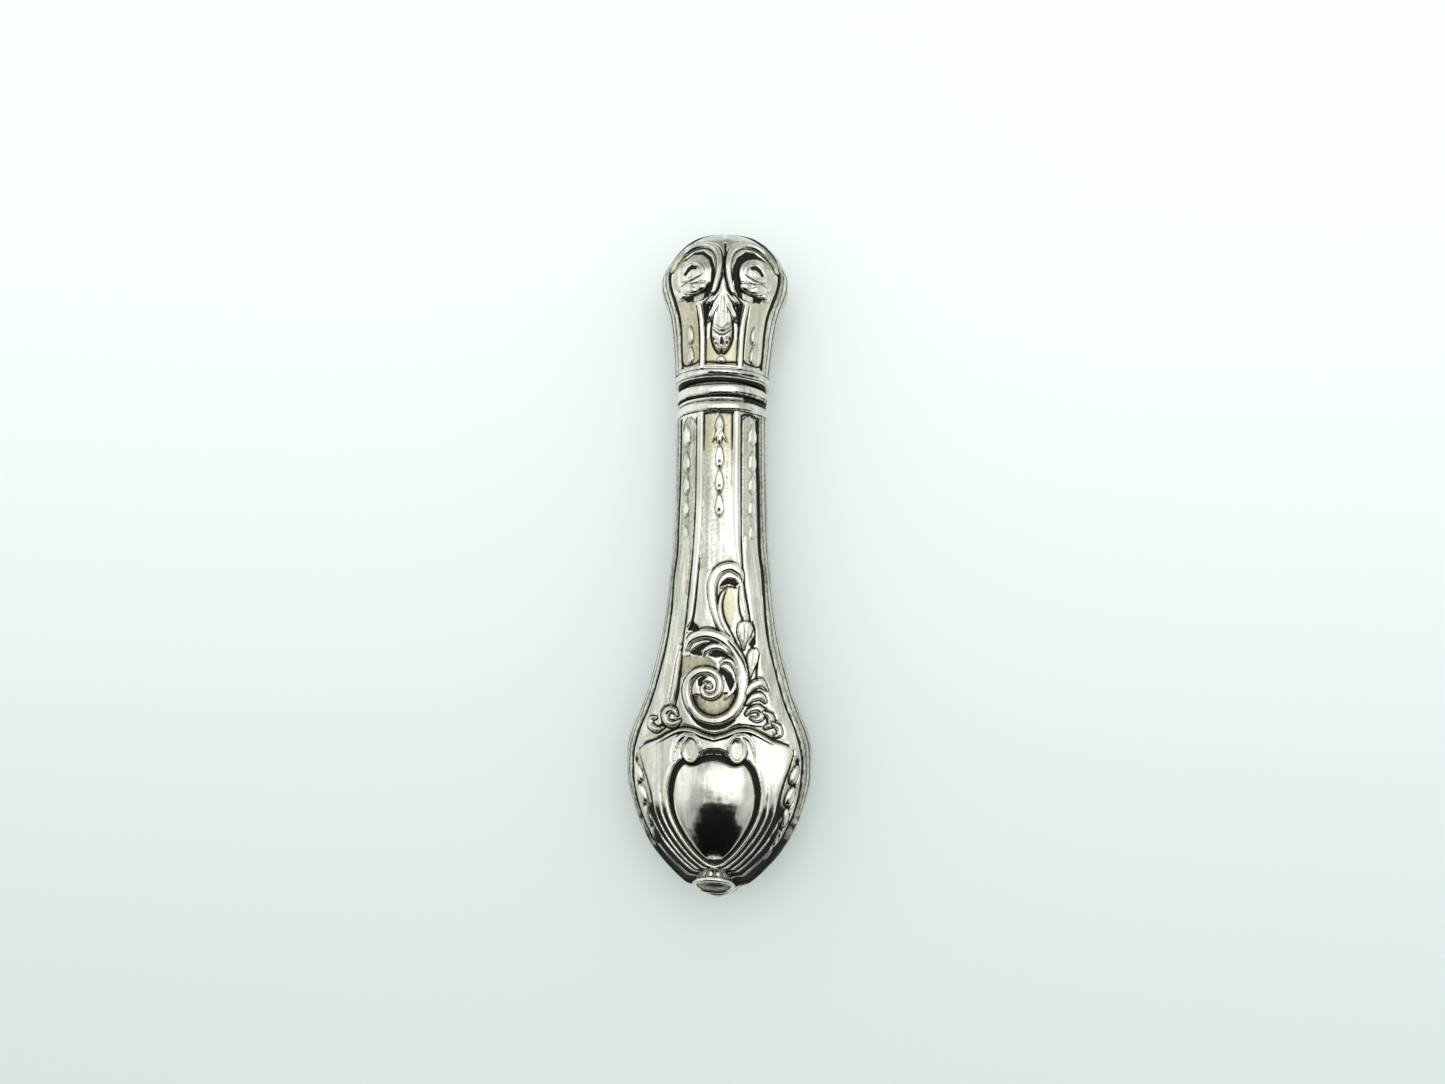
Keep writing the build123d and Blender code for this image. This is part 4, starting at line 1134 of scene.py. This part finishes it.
def node_in(tree, kind, inputs=None, **settings):
    """New shader node with its settings; each input is linked to a socket or set to a value."""
    node = tree.nodes.new("ShaderNode" + kind)
    for name, value in settings.items():
        setattr(node, name, value)
    for name, value in (inputs or {}).items():
        if isinstance(value, bpy.types.NodeSocket):
            tree.links.new(value, node.inputs[name])
        else:
            node.inputs[name].default_value = value
    return node


def maths(tree, operation, first, second, clamp=False):
    return node_in(tree, "Math", {0: first, 1: second}, operation=operation, use_clamp=clamp).outputs[0]


def arithmetic(tree):
    """Adding and multiplying in a tree, and a noise's distance from its middle times a gain."""
    add, times = partial(maths, tree, "ADD"), partial(maths, tree, "MULTIPLY")
    return add, times, lambda value, gain: times(maths(tree, "SUBTRACT", value, 0.5), gain)


def mapped(tree, value, low, high, to_low=0.0, to_high=1.0):
    ends = {"From Min": low, "From Max": high, "To Min": to_low, "To Max": to_high}
    node = node_in(tree, "MapRange", {"Value": value, **ends}, interpolation_type="SMOOTHSTEP")
    return node.outputs["Result"]


def blended(tree, share, first, second):
    inputs = {"Factor": share, "A": first, "B": second}
    return node_in(tree, "Mix", inputs, data_type="RGBA").outputs["Result"]


def noise(tree, vector, scale, detail):
    inputs = {"Scale": scale, "Detail": detail, "Roughness": 0.55, "Vector": vector}
    return node_in(tree, "TexNoise", inputs).outputs["Fac"]


def stretched(tree, vector, scale, turn=(0, 0, 0)):
    inputs = {"Scale": scale, "Rotation": turn, "Vector": vector}
    return node_in(tree, "Mapping", inputs).outputs["Vector"]


def node_group(name, taken, given):
    """New node group with its sockets, and the nodes of its inputs and outputs."""
    tree = bpy.data.node_groups.new(name, "ShaderNodeTree")
    for in_out, sockets in (("INPUT", taken), ("OUTPUT", given)):
        for label, kind, *default in sockets:
            socket = tree.interface.new_socket(name=label, in_out=in_out, socket_type="NodeSocket" + kind)
            if default:
                socket.default_value = default[0]
    return tree, tree.nodes.new("NodeGroupInput").outputs, tree.nodes.new("NodeGroupOutput").inputs


def patina_group():
    """Old silver: bright where it is rubbed, warm in the grounds, black in the grooves and where shade is
    painted.
    """
    if "old_silver_patina" in bpy.data.node_groups:
        return bpy.data.node_groups["old_silver_patina"]
    tree, taken, given = node_group(
        "old_silver_patina",
        (
            ("Coords", "Vector"),
            ("Oxide", "Float", 0.0),
            ("Tarnish", "Float", 0.0),
            ("Bright", "Color", (0.8, 0.8, 0.78, 1)),
            ("Dull", "Color", (0.6, 0.6, 0.57, 1)),
            ("Warm", "Color", (0.5, 0.44, 0.32, 1)),
            ("Black", "Color", (0.02, 0.02, 0.018, 1)),
            ("Polish", "Float", 0.15),
        ),
        (("Color", "Color"), ("Roughness", "Float"), ("Metallic", "Float")),
    )
    add, times, centred = arithmetic(tree)
    coords = taken["Coords"]
    ragged = centred(noise(tree, coords, 2600, 3), 0.5)
    drift = centred(noise(tree, coords, 420, 4), 0.7)
    streaks = maths(tree, "SUBTRACT", noise(tree, stretched(tree, coords, (1900, 60, 1900)), 1.0, 3), 0.5)
    soot = add(times(ragged, 0.8), times(streaks, 0.3))
    oxide = mapped(tree, add(taken["Oxide"], soot), 0.22, 0.72)
    tarnish = mapped(tree, add(taken["Tarnish"], add(drift, ragged)), 0.05, 1.0)
    breath = noise(tree, stretched(tree, coords, (300, 110, 300)), 1.0, 4)
    breath = add(add(breath, times(streaks, 0.7)), times(ragged, 0.4))
    rubbed = blended(tree, mapped(tree, breath, 0.36, 0.7), taken["Bright"], taken["Dull"])
    warmed = blended(tree, tarnish, rubbed, taken["Warm"])
    tree.links.new(blended(tree, oxide, warmed, taken["Black"]), given["Color"])
    rough = add(add(taken["Polish"], times(tarnish, 0.2)), times(oxide, 0.4))
    tree.links.new(add(rough, times(drift, 0.1), clamp=True), given["Roughness"])
    tree.links.new(maths(tree, "SUBTRACT", 1.0, times(oxide, 0.85)), given["Metallic"])
    return tree


def rubbing_group():
    """Fine scratches and soft dents of a piece that is carried about, as a height."""
    if "fine_rubbing" in bpy.data.node_groups:
        return bpy.data.node_groups["fine_rubbing"]
    tree, taken, given = node_group("fine_rubbing", (("Coords", "Vector"),), (("Height", "Float"),))
    add, times, _ = arithmetic(tree)
    total = times(noise(tree, taken["Coords"], 900, 3), 0.6)
    scratches = (
        ((0.3, 0.2, 0.5), (900, 5200, 900)),
        ((0.1, 0.6, -0.7), (4800, 700, 2500)),
        ((0, 0.2, 1.9), (800, 5600, 900)),
    )
    for turn, scale in scratches:
        lines = noise(tree, stretched(tree, taken["Coords"], scale, turn), 1.0, 2)
        total = add(total, times(mapped(tree, lines, 0.62, 0.75), 0.25))
    tree.links.new(total, given["Height"])
    return tree


def blank_material(name):
    """New material, its empty tree and the surface socket of its output."""
    material = bpy.data.materials.new(name)
    material.use_nodes = True
    tree = material.node_tree
    tree.nodes.clear()
    return material, tree, node_in(tree, "OutputMaterial").inputs["Surface"]


def silver(name, colours, polish, bump):
    """Material of one silver finish."""
    material, tree, surface = blank_material(name)
    coords = node_in(tree, "TexCoord").outputs["Object"]
    layers = {
        layer.title(): node_in(tree, "Attribute", attribute_name=layer).outputs["Fac"]
        for layer in ("oxide", "tarnish")
    }
    tints = {socket: (*colour, 1) for socket, colour in zip(("Bright", "Dull", "Warm", "Black"), colours)}
    inputs = {"Coords": coords, "Polish": polish, **layers, **tints}
    patina = node_in(tree, "Group", inputs, node_tree=patina_group())
    rubbing = node_in(tree, "Group", {"Coords": coords}, node_tree=rubbing_group())
    relief = node_in(
        tree, "Bump", {"Strength": bump, "Distance": RUBBING_METRES, "Height": rubbing.outputs["Height"]}
    )
    shader = node_in(
        tree,
        "BsdfPrincipled",
        {
            "Specular IOR Level": 0.12,
            "Base Color": patina.outputs["Color"],
            "Roughness": patina.outputs["Roughness"],
            "Metallic": patina.outputs["Metallic"],
            "Normal": relief.outputs["Normal"],
        },
    )
    tree.links.new(shader.outputs["BSDF"], surface)
    return material


def dressed(piece, material, body, slot, *nodes):
    """Gives a piece its finish and body, and hides the solids it stands for; the slot is not used."""
    piece.data.materials.clear()
    piece.data.materials.append(material)
    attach(piece, body)
    if nodes:
        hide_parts(*nodes)


def redressed(node, material):
    """New finish for a solid that stays as it is."""
    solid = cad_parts[node]
    if not solid.material_slots:
        solid.data.materials.append(material)
    for slot in solid.material_slots:
        slot.material = material


def tent_cloth():
    """Glowing cloth: brightest overhead, greyer at the sides and dark at the open front."""
    material, tree, surface = blank_material("tent_cloth")
    add, times, centred = arithmetic(tree)
    coords = node_in(tree, "TexCoord").outputs["Object"]
    place = node_in(tree, "VectorMath", {0: coords}, operation="NORMALIZE").outputs["Vector"]
    split = node_in(tree, "SeparateXYZ", {0: place}).outputs
    divided, power = partial(maths, tree, "DIVIDE"), partial(maths, tree, "POWER")
    sideways = power(maths(tree, "ABSOLUTE", divided(split["X"], 0.7), 0.0), 2.0)
    forward = power(divided(add(split["Y"], 1.0), 0.72), 2.0)
    apart = maths(tree, "SQRT", add(sideways, forward), 0.0)
    lit = mapped(tree, add(apart, centred(noise(tree, place, 3.1, 3), 0.75)), 0.88, 1.12)
    level = 0.5
    for direction, low, high, gain in (
        ((0.22, 0.16, 0.95), 0.72, 0.98, 1.2),
        ((0.9, 0.25, 0.45), 0.55, 1.0, 0.3),
        ((-0.85, 0.3, 0.5), 0.6, 1.0, 0.65),
    ):
        towards = {0: place, 1: Vector(direction).normalized()}
        facing = node_in(tree, "VectorMath", towards, operation="DOT_PRODUCT").outputs["Value"]
        level = add(level, times(mapped(tree, facing, low, high), gain))
    level = times(level, mapped(tree, noise(tree, place, 2.2, 2), 0.3, 0.7, 0.8, 1.12))
    level = times(level, mapped(tree, lit, 0.0, 1.0, 0.012, 1.0))
    glow = node_in(tree, "Emission", {"Strength": level, "Color": (0.98, 1.0, 0.985, 1)})
    tree.links.new(glow.outputs["Emission"], surface)
    return material


# ---------------------------------------------------------------- settings


def colour(name, description, default):
    return bpy.props.FloatVectorProperty(
        name=name, description=description, subtype="COLOR", default=default, min=0, max=1
    )


class NeedleCaseFinish(bpy.types.PropertyGroup):
    """Colours and polish of the silver."""

    bright: colour("Rubbed silver", "Colour of the high points", (0.82, 0.825, 0.74))
    dull: colour("Dulled silver", "Colour where handling has dulled it", (0.55, 0.56, 0.49))
    warm: colour("Tarnish", "Colour of the warm grounds", (0.56, 0.53, 0.37))
    # Black of the oxide, also used for the painted shade
    black: colour("Oxide", "Colour in the grooves", (0.018, 0.017, 0.015))
    polish: bpy.props.FloatProperty(
        name="Roughness of the rubbed silver", description="Lower is brighter", default=0.13, min=0, max=1
    )
    rubbing: bpy.props.FloatProperty(
        name="Rubbing", description="Strength of the fine scratches", default=0.25, min=0, max=1
    )


class NeedleCaseSizes(bpy.types.PropertyGroup):
    """Sizes that shape the worked sheet."""

    sheet: bpy.props.FloatProperty(
        name="Sheet",
        description="Thickness of the stamped sheet",
        default=0.0005,
        min=0.0002,
        max=0.001,
        unit="LENGTH",
    )
    rows: bpy.props.IntProperty(
        name="Rows", description="Rows of the body's mesh", default=490, min=80, max=520
    )
    columns: bpy.props.IntProperty(
        name="Columns", description="Columns across a body half", default=186, min=40, max=188
    )


class NeedleCaseStage(bpy.types.PropertyGroup):
    """Table and light."""

    far_colour: colour("Table, far side", "Colour of the table behind the case", (0.94, 0.985, 0.98))
    # The near side is darker as painted shade
    near_shaded_colour: colour("Table, near side", "Colour of the table before the case", (0.70, 0.78, 0.765))
    sky: bpy.props.FloatProperty(
        name="Room light", description="Strength of the light from all round", default=0.87, min=0, max=2
    )
    key: bpy.props.FloatProperty(
        name="Overhead light",
        description="Power of the soft light overhead",
        default=0.6,
        min=0,
        max=5,
        unit="POWER",
    )


def finish_of(context, name, polish_extra=0.0, wear=1.0):
    if name in bpy.data.materials:
        return bpy.data.materials[name]
    settings = context.scene.needle_case_finish
    colours = settings.bright, settings.dull, settings.warm, settings.black
    return silver(name, colours, settings.polish + polish_extra, settings.rubbing * wear)


# ---------------------------------------------------------------- operators


class BuildBodyShells(bpy.types.Operator):
    """Builds the two stamped halves of the body"""

    bl_idname = "needle_case.body_shells"
    bl_label = "Body halves"

    def execute(self, context):
        sizes = context.scene.needle_case_sizes
        mesh_size = sizes.rows, sizes.columns, BODY_INNER_COLUMNS
        sheet = sizes.sheet / MILLIMETRE
        front = stamped_half("body_front", BODY_STATIONS, False, *mesh_size, sheet, work_body, seed=11)
        back = turned_copy(front, "body_back", math.pi)
        material = finish_of(context, "stamped_silver_finish")
        dressed(front, material, "body", "stamped_silver", "body_front_shell")
        dressed(back, material, "body", "stamped_silver", "body_back_shell")
        return {"FINISHED"}


# Boss at the tip: its tilt, the place of its dish and its section of (radius, height)
BOSS_TILT = math.radians(28)
BOSS_PLACE = (-0.1, -43.1, 4.15)
BOSS_STEM = [
    (0, -2.6), (0.5, -2.58), (0.95, -2.45), (1.4, -2.2), (1.8, -1.85), (2.15, -1.4), (2.4, -0.95),
    (2.55, -0.62),
]
BOSS_DISH = [
    (2.1, -0.26), (1.95, -0.35), (1.7, -0.41), (1.35, -0.46), (0.9, -0.5), (0.45, -0.525), (0, -0.53),
]


class BuildTipBosses(bpy.types.Operator):
    """Builds the dished bosses at the tip of the body"""

    bl_idname = "needle_case.tip_bosses"
    bl_label = "Tip bosses"

    def execute(self, context):
        profile = BOSS_STEM + arc(2.45, -0.36, 0.27, 0.3, -50, 150, 12) + BOSS_DISH
        bm = lathed([(r, a, 0) for r, a in profile], (0, 0, 0), 144, 1e-5, closed=False)
        oxide, tarnish = (bm.verts.layers.float.new(layer) for layer in ("oxide", "tarnish"))
        for vertex in bm.verts:
            radius, turn = math.hypot(vertex.co.x, vertex.co.z), math.atan2(vertex.co.z, vertex.co.x)
            flank = float(smoothstep(-vertex.co.y, 0.45, 0.8))
            between_flutes = 1 - abs(math.cos(5.5 * turn))
            scale = 1 - 0.13 * flank * between_flutes + 0.01 * math.sin(2 * turn + 1)
            vertex.co.x *= scale
            vertex.co.z *= scale
            vertex[oxide] = 0.75 * flank * between_flutes**3
            if vertex.co.y > -0.63 and radius < 2.2:
                away = ((vertex.co.z - 0.35) / 0.55) ** 2 + ((vertex.co.x - 0.2) / 1.1) ** 2
                rim = 0.8 * math.exp(-(((radius - 2.05) / 0.13) ** 2))
                vertex[oxide] = max(vertex[oxide], rim, 0.46 + 0.45 * math.exp(-away))
                vertex[tarnish] = 0.7
        turn_up = Matrix.Rotation(math.pi - BOSS_TILT, 4, "X")
        bmesh.ops.transform(bm, matrix=Matrix.Translation(BOSS_PLACE) @ turn_up, verts=bm.verts)
        whole = bm.verts[:] + bm.edges[:] + bm.faces[:]
        bmesh.ops.bisect_plane(bm, geom=whole, plane_co=(0, 0, 0), plane_no=(0, 0, -1), clear_outer=True)
        fill_open_edges(bm)
        to_case = Matrix.Scale(MILLIMETRE, 4) @ Matrix.Translation((0, 0, AXIS_HEIGHT))
        bmesh.ops.transform(bm, matrix=to_case, verts=bm.verts)
        bmesh.ops.recalc_face_normals(bm, faces=bm.faces)
        front = finished(bm, "tip_boss_front")
        back = turned_copy(front, "tip_boss_back", math.pi)
        material = finish_of(context, "stamped_silver_finish")
        dressed(front, material, "body", "stamped_silver")
        dressed(back, material, "body", "stamped_silver")
        return {"FINISHED"}


class BuildNeckRings(bpy.types.Operator):
    """Builds the collar and the two bead rings at the body's mouth"""

    bl_idname = "needle_case.neck_rings"
    bl_label = "Neck rings"

    def execute(self, context):
        material = finish_of(context, "ring_silver_finish", -0.05, 4.0)
        for node, seed, over, painted_reflection_angle in (("lower_bead", 3, 0.25, 75), ("upper_bead", 5, 0.4, 40)):
            low, node_top, outer = reach_of(node)
            high, edge = node_top + over, outer - 0.34
            profile = [(RING_BORE, low), (edge, low)]
            profile += arc(edge, (low + high) / 2, outer - edge, (high - low) / 2 * 0.94, -88, 88, 17)
            if node == "upper_bead":
                # The raised part clears the stop ring
                profile += [(edge + 0.02, high), (edge, high), (edge, node_top), (RING_BORE, node_top)]
            else:
                profile += [(edge, high), (RING_BORE, high)]
            # Dark lines at the bead's foot and top, and a ragged painted dark reflection on its lower part,
            # gathered round one angle
            grime_and_painted_shade = ((low, 0.16), (node_top + 0.4, 0.12), (low + 0.34, 0.1, painted_reflection_angle))
            piece = spun(node + "_ring", profile, wobble=0.05, seed=seed, oxide=grime_and_painted_shade)
            dressed(piece, material, "body", "plain_silver", node)
        low, high, outer = reach_of("neck_collar")
        inner = outer - COLLAR_WALL
        profile = [(inner, low), (outer, low), (outer, SHELL_END_Y), (outer, COLLAR_STEP_Y)]
        profile += arc(outer + 0.05, COLLAR_ROLL_Y, 0.34, 0.26, -85, 85, 9)
        profile += [(outer, 20.5), (outer, high), (inner, high)]
        # Dark lines at the roll and at the shell's end, and a dark patch gathered on the right: partly grime,
        # partly painted shade between the rings
        grime_and_painted_shade = ((19.78, 0.14), (20.62, 0.3), (SHELL_END_Y, 0.3), (20.15, 0.4, 22))
        dressed(spun("collar_ring", profile, oxide=grime_and_painted_shade), material, "body", "plain_silver", "neck_collar")
        redressed("mouth_plate", material)
        return {"FINISHED"}


class BuildNeedleTube(bpy.types.Operator):
    """Builds the drawn tube that the cap pulls off, with its stop ring"""

    bl_idname = "needle_case.needle_tube"
    bl_label = "Needle tube"

    def execute(self, context):
        material = finish_of(context, "drawn_silver_finish", 0.12)
        low, high, outer = reach_of("needle_tube")
        inner = outer - TUBE_WALL
        profile = [(inner, low), (outer, low)]
        profile += [(outer, y) for y in np.linspace(low + 1, high - 0.5, 40)]
        profile += arc(outer - 0.2, high - 0.2, 0.2, 0.2, 0, 180, 9)
        profile += [(inner, y) for y in np.linspace(high - 1, low + 1, 12)]
        # Painted shade on the tube where it shows in the gap under the cap
        tube = spun("needle_tube_drawn", profile, steps=120, oxide=((22.1, 0.5),))
        dressed(tube, material, "tube", "inner_silver", "needle_tube")
        low, high, outer = reach_of("stop_ring")
        middle, shoulder = (low + high) / 2, outer - 0.1
        profile = [(STOP_RING_BORE, low), (shoulder, low)]
        profile += arc(outer - 0.17, middle, 0.17, 0.17, -80, 80, 7)
        profile += [(shoulder, high), (STOP_RING_BORE, high)]
        # The stop ring is blackened all over as painted shade in the gap
        ring = spun("stop_ring_turned", profile, oxide=((middle, 1.2),))
        dressed(ring, finish_of(context, "ring_silver_finish"), "tube", "plain_silver", "stop_ring")
        redressed("tube_floor", material)
        return {"FINISHED"}


class BuildCapShells(bpy.types.Operator):
    """Builds the two stamped halves of the cap"""

    bl_idname = "needle_case.cap_shells"
    bl_label = "Cap halves"

    def execute(self, context):
        sheet = context.scene.needle_case_sizes.sheet / MILLIMETRE
        mesh_size = CAP_ROWS, CAP_COLUMNS, CAP_INNER_COLUMNS
        square = stamped_half("cap_front_square", CAP_STATIONS, True, *mesh_size, sheet, work_cap, seed=23)
        front = leant(turned_copy(square, "cap_front", CAP_TURN))
        back = leant(turned_copy(square, "cap_back", CAP_TURN + math.pi))
        bpy.data.objects.remove(square)
        material = finish_of(context, "stamped_silver_finish")
        dressed(front, material, "cap", "stamped_silver", "cap_front_shell")
        dressed(back, material, "cap", "stamped_silver", "cap_back_shell")
        return {"FINISHED"}


class BuildCapRings(bpy.types.Operator):
    """Builds the cap's band and liner"""

    bl_idname = "needle_case.cap_rings"
    bl_label = "Cap rings"

    def execute(self, context):
        material = finish_of(context, "ring_silver_finish")
        low, lip, outer = reach_of("cap_band")
        low, high, inner, ledge = low + 0.3, lip + 0.6, outer - BAND_WALL, outer - 0.42
        profile = [(inner, low), (outer - 0.3, low)]
        profile += arc(outer - 0.3, low + 0.12, 0.16, 0.11, -80, 80, 7)
        middle, half = (low + 0.25 + lip) / 2, (lip - low - 0.25) / 2
        profile += arc(outer - 0.36, middle, 0.36, half * 0.97, -85, 85, 19)
        profile += arc(ledge, high - 0.31, 0.28, 0.29, -80, 85, 9)
        profile += [(ledge, high), (inner, high)]
        # Dark lines at the band's lip, top and foot, and a ragged painted dark reflection across its roll,
        # gathered round one angle
        grime_and_painted_shade = ((lip, 0.08), (high + 0.05, 0.08), (low + 0.24, 0.08), (low + 0.62, 0.15, 68))
        band = spun("cap_band_turned", profile, wobble=0.08, seed=8, oxide=grime_and_painted_shade)
        dressed(leant(band), material, "cap", "plain_silver", "cap_band")
        low, high, outer = reach_of("cap_liner")
        inner = outer - LINER_WALL
        profile = [(inner, low), (outer, low)]
        profile += [(outer, y) for y in np.linspace(low + 1, high - 1, 14)]
        profile += [(outer, high), (inner, high)]
        profile += [(inner, y) for y in np.linspace(high - 1, low + 1, 14)]
        liner = spun("cap_liner_drawn", profile, steps=96)
        drawn = finish_of(context, "drawn_silver_finish", 0.12)
        dressed(liner, drawn, "cap", "inner_silver", "cap_liner")
        low, high, outer = reach_of("cap_mouth_ring")
        profile = [(MOUTH_RING_BORE, low), (outer - 0.1, low), (outer, low + 0.1), (outer, high)]
        profile += [(MOUTH_RING_BORE, high)]
        # The mouth ring is blackened all over as painted shade inside the cap's mouth
        mouth = spun("cap_mouth_ring_turned", profile, steps=120, oxide=((low, 2.0),))
        dressed(leant(mouth), material, "cap", "plain_silver", "cap_mouth_ring")
        redressed("cap_liner_disc", drawn)
        return {"FINISHED"}


# Places on the stage, in metres
TABLE_HALF_SIZE, TABLE_TOP = 0.9, -0.00002
TABLE_SHADE_FROM, TABLE_SHADE_TO = -0.085, 0.055
LAMP_PLACE, LAMP_SIZE = (0.1, 0.14, 0.5), 0.5
TENT_RADIUS, TENT_FOOT = 0.7, -0.05
CAMERA_PLACE, CAMERA_TARGET = Vector((0.0173, -0.0171, 0.1468)), Vector((0.0002, 0.0016, 0.0072))
CAMERA_ROLL = math.radians(0.45)


class BuildStage(bpy.types.Operator):
    """Sets the pale table, the soft light and the camera"""

    bl_idname = "needle_case.stage"
    bl_label = "Table, light and camera"

    def execute(self, context):
        settings = context.scene.needle_case_stage
        bm = bmesh.new()
        bmesh.ops.create_grid(bm, x_segments=8, y_segments=8, size=TABLE_HALF_SIZE)
        bmesh.ops.translate(bm, vec=(0, 0, TABLE_TOP), verts=bm.verts)
        table = finished(bm, "table")
        material, tree, surface = blank_material("pale_table")
        coords = node_in(tree, "TexCoord").outputs["Object"]
        # Painted shade: the table darkens from the far side to the near side
        far_to_near = node_in(tree, "SeparateXYZ", {0: coords}).outputs["Y"]
        share = mapped(tree, far_to_near, TABLE_SHADE_FROM, TABLE_SHADE_TO)
        shade = blended(tree, share, (*settings.near_shaded_colour, 1), (*settings.far_colour, 1))
        inputs = {"Base Color": shade, "Roughness": 0.6, "Specular IOR Level": 0.2}
        tree.links.new(node_in(tree, "BsdfPrincipled", inputs).outputs["BSDF"], surface)
        table.data.materials.append(material)

        world = bpy.data.worlds.new("soft_room")
        context.scene.world = world
        world.use_nodes = True
        background = world.node_tree.nodes["Background"]
        background.inputs["Color"].default_value = (0.97, 1.0, 0.99, 1)
        background.inputs["Strength"].default_value = settings.sky

        overhead = bpy.data.lights.new("overhead_soft", "AREA")
        overhead.shape, overhead.size, overhead.energy = "DISK", LAMP_SIZE, settings.key
        lamp = placed("overhead_soft", overhead)
        lamp.location = LAMP_PLACE
        lamp.rotation_euler = lamp.location.to_track_quat("Z", "Y").to_euler()
        lamp.visible_camera = lamp.visible_glossy = False

        # Light tent with an open dark front: seen only in the polished metal
        bm = bmesh.new()
        bmesh.ops.create_uvsphere(bm, u_segments=64, v_segments=32, radius=TENT_RADIUS)
        below = [vertex for vertex in bm.verts if vertex.co.z < TENT_FOOT]
        bmesh.ops.delete(bm, geom=below, context="VERTS")
        tent = finished(bm, "light_tent")
        tent.data.materials.append(tent_cloth())
        tent.visible_camera = tent.visible_diffuse = tent.visible_shadow = False

        view = bpy.data.cameras.new("case_camera")
        view.lens, view.sensor_width, view.clip_start = 26.0, 36.0, 0.01
        camera = placed("case_camera", view)
        backward = (CAMERA_PLACE - CAMERA_TARGET).normalized()
        right = Vector((-math.sin(CAMERA_ROLL), math.cos(CAMERA_ROLL), 0)).cross(backward).normalized()
        camera.matrix_world = Matrix((right, backward.cross(right), backward)).transposed().to_4x4()
        camera.location = CAMERA_PLACE
        context.scene.camera = camera
        context.scene.view_settings.view_transform = "Standard"
        return {"FINISHED"}


class NeedleCasePanel(bpy.types.Panel):
    """Buttons that build the needle case"""

    bl_idname = "VIEW3D_PT_needle_case"
    bl_label = "Needle Case"
    bl_space_type = "VIEW_3D"
    bl_region_type = "UI"
    bl_category = "Needle Case"

    def draw(self, context):
        for group in SETTINGS:
            settings, box = getattr(context.scene, group), self.layout.box()
            for name in settings.bl_rna.properties.keys():
                if name not in ("rna_type", "name"):
                    box.prop(settings, name)
        for operator in OPERATORS:
            self.layout.operator(operator.bl_idname)


SETTINGS = {
    "needle_case_sizes": NeedleCaseSizes,
    "needle_case_finish": NeedleCaseFinish,
    "needle_case_stage": NeedleCaseStage,
}
OPERATORS = (
    BuildBodyShells,
    BuildTipBosses,
    BuildNeckRings,
    BuildNeedleTube,
    BuildCapShells,
    BuildCapRings,
    BuildStage,
)


def register():
    for kind in (*SETTINGS.values(), *OPERATORS, NeedleCasePanel):
        bpy.utils.register_class(kind)
    for name, kind in SETTINGS.items():
        setattr(bpy.types.Scene, name, bpy.props.PointerProperty(type=kind))


def unregister():
    for name in SETTINGS:
        delattr(bpy.types.Scene, name)
    for kind in (NeedleCasePanel, *reversed(OPERATORS), *SETTINGS.values()):
        bpy.utils.unregister_class(kind)


def main():
    register()
    bpy.ops.needle_case.body_shells()
    bpy.ops.needle_case.tip_bosses()
    bpy.ops.needle_case.neck_rings()
    bpy.ops.needle_case.needle_tube()
    bpy.ops.needle_case.cap_shells()
    bpy.ops.needle_case.cap_rings()
    bpy.ops.needle_case.stage()


if __name__ == "__main__":
    main()
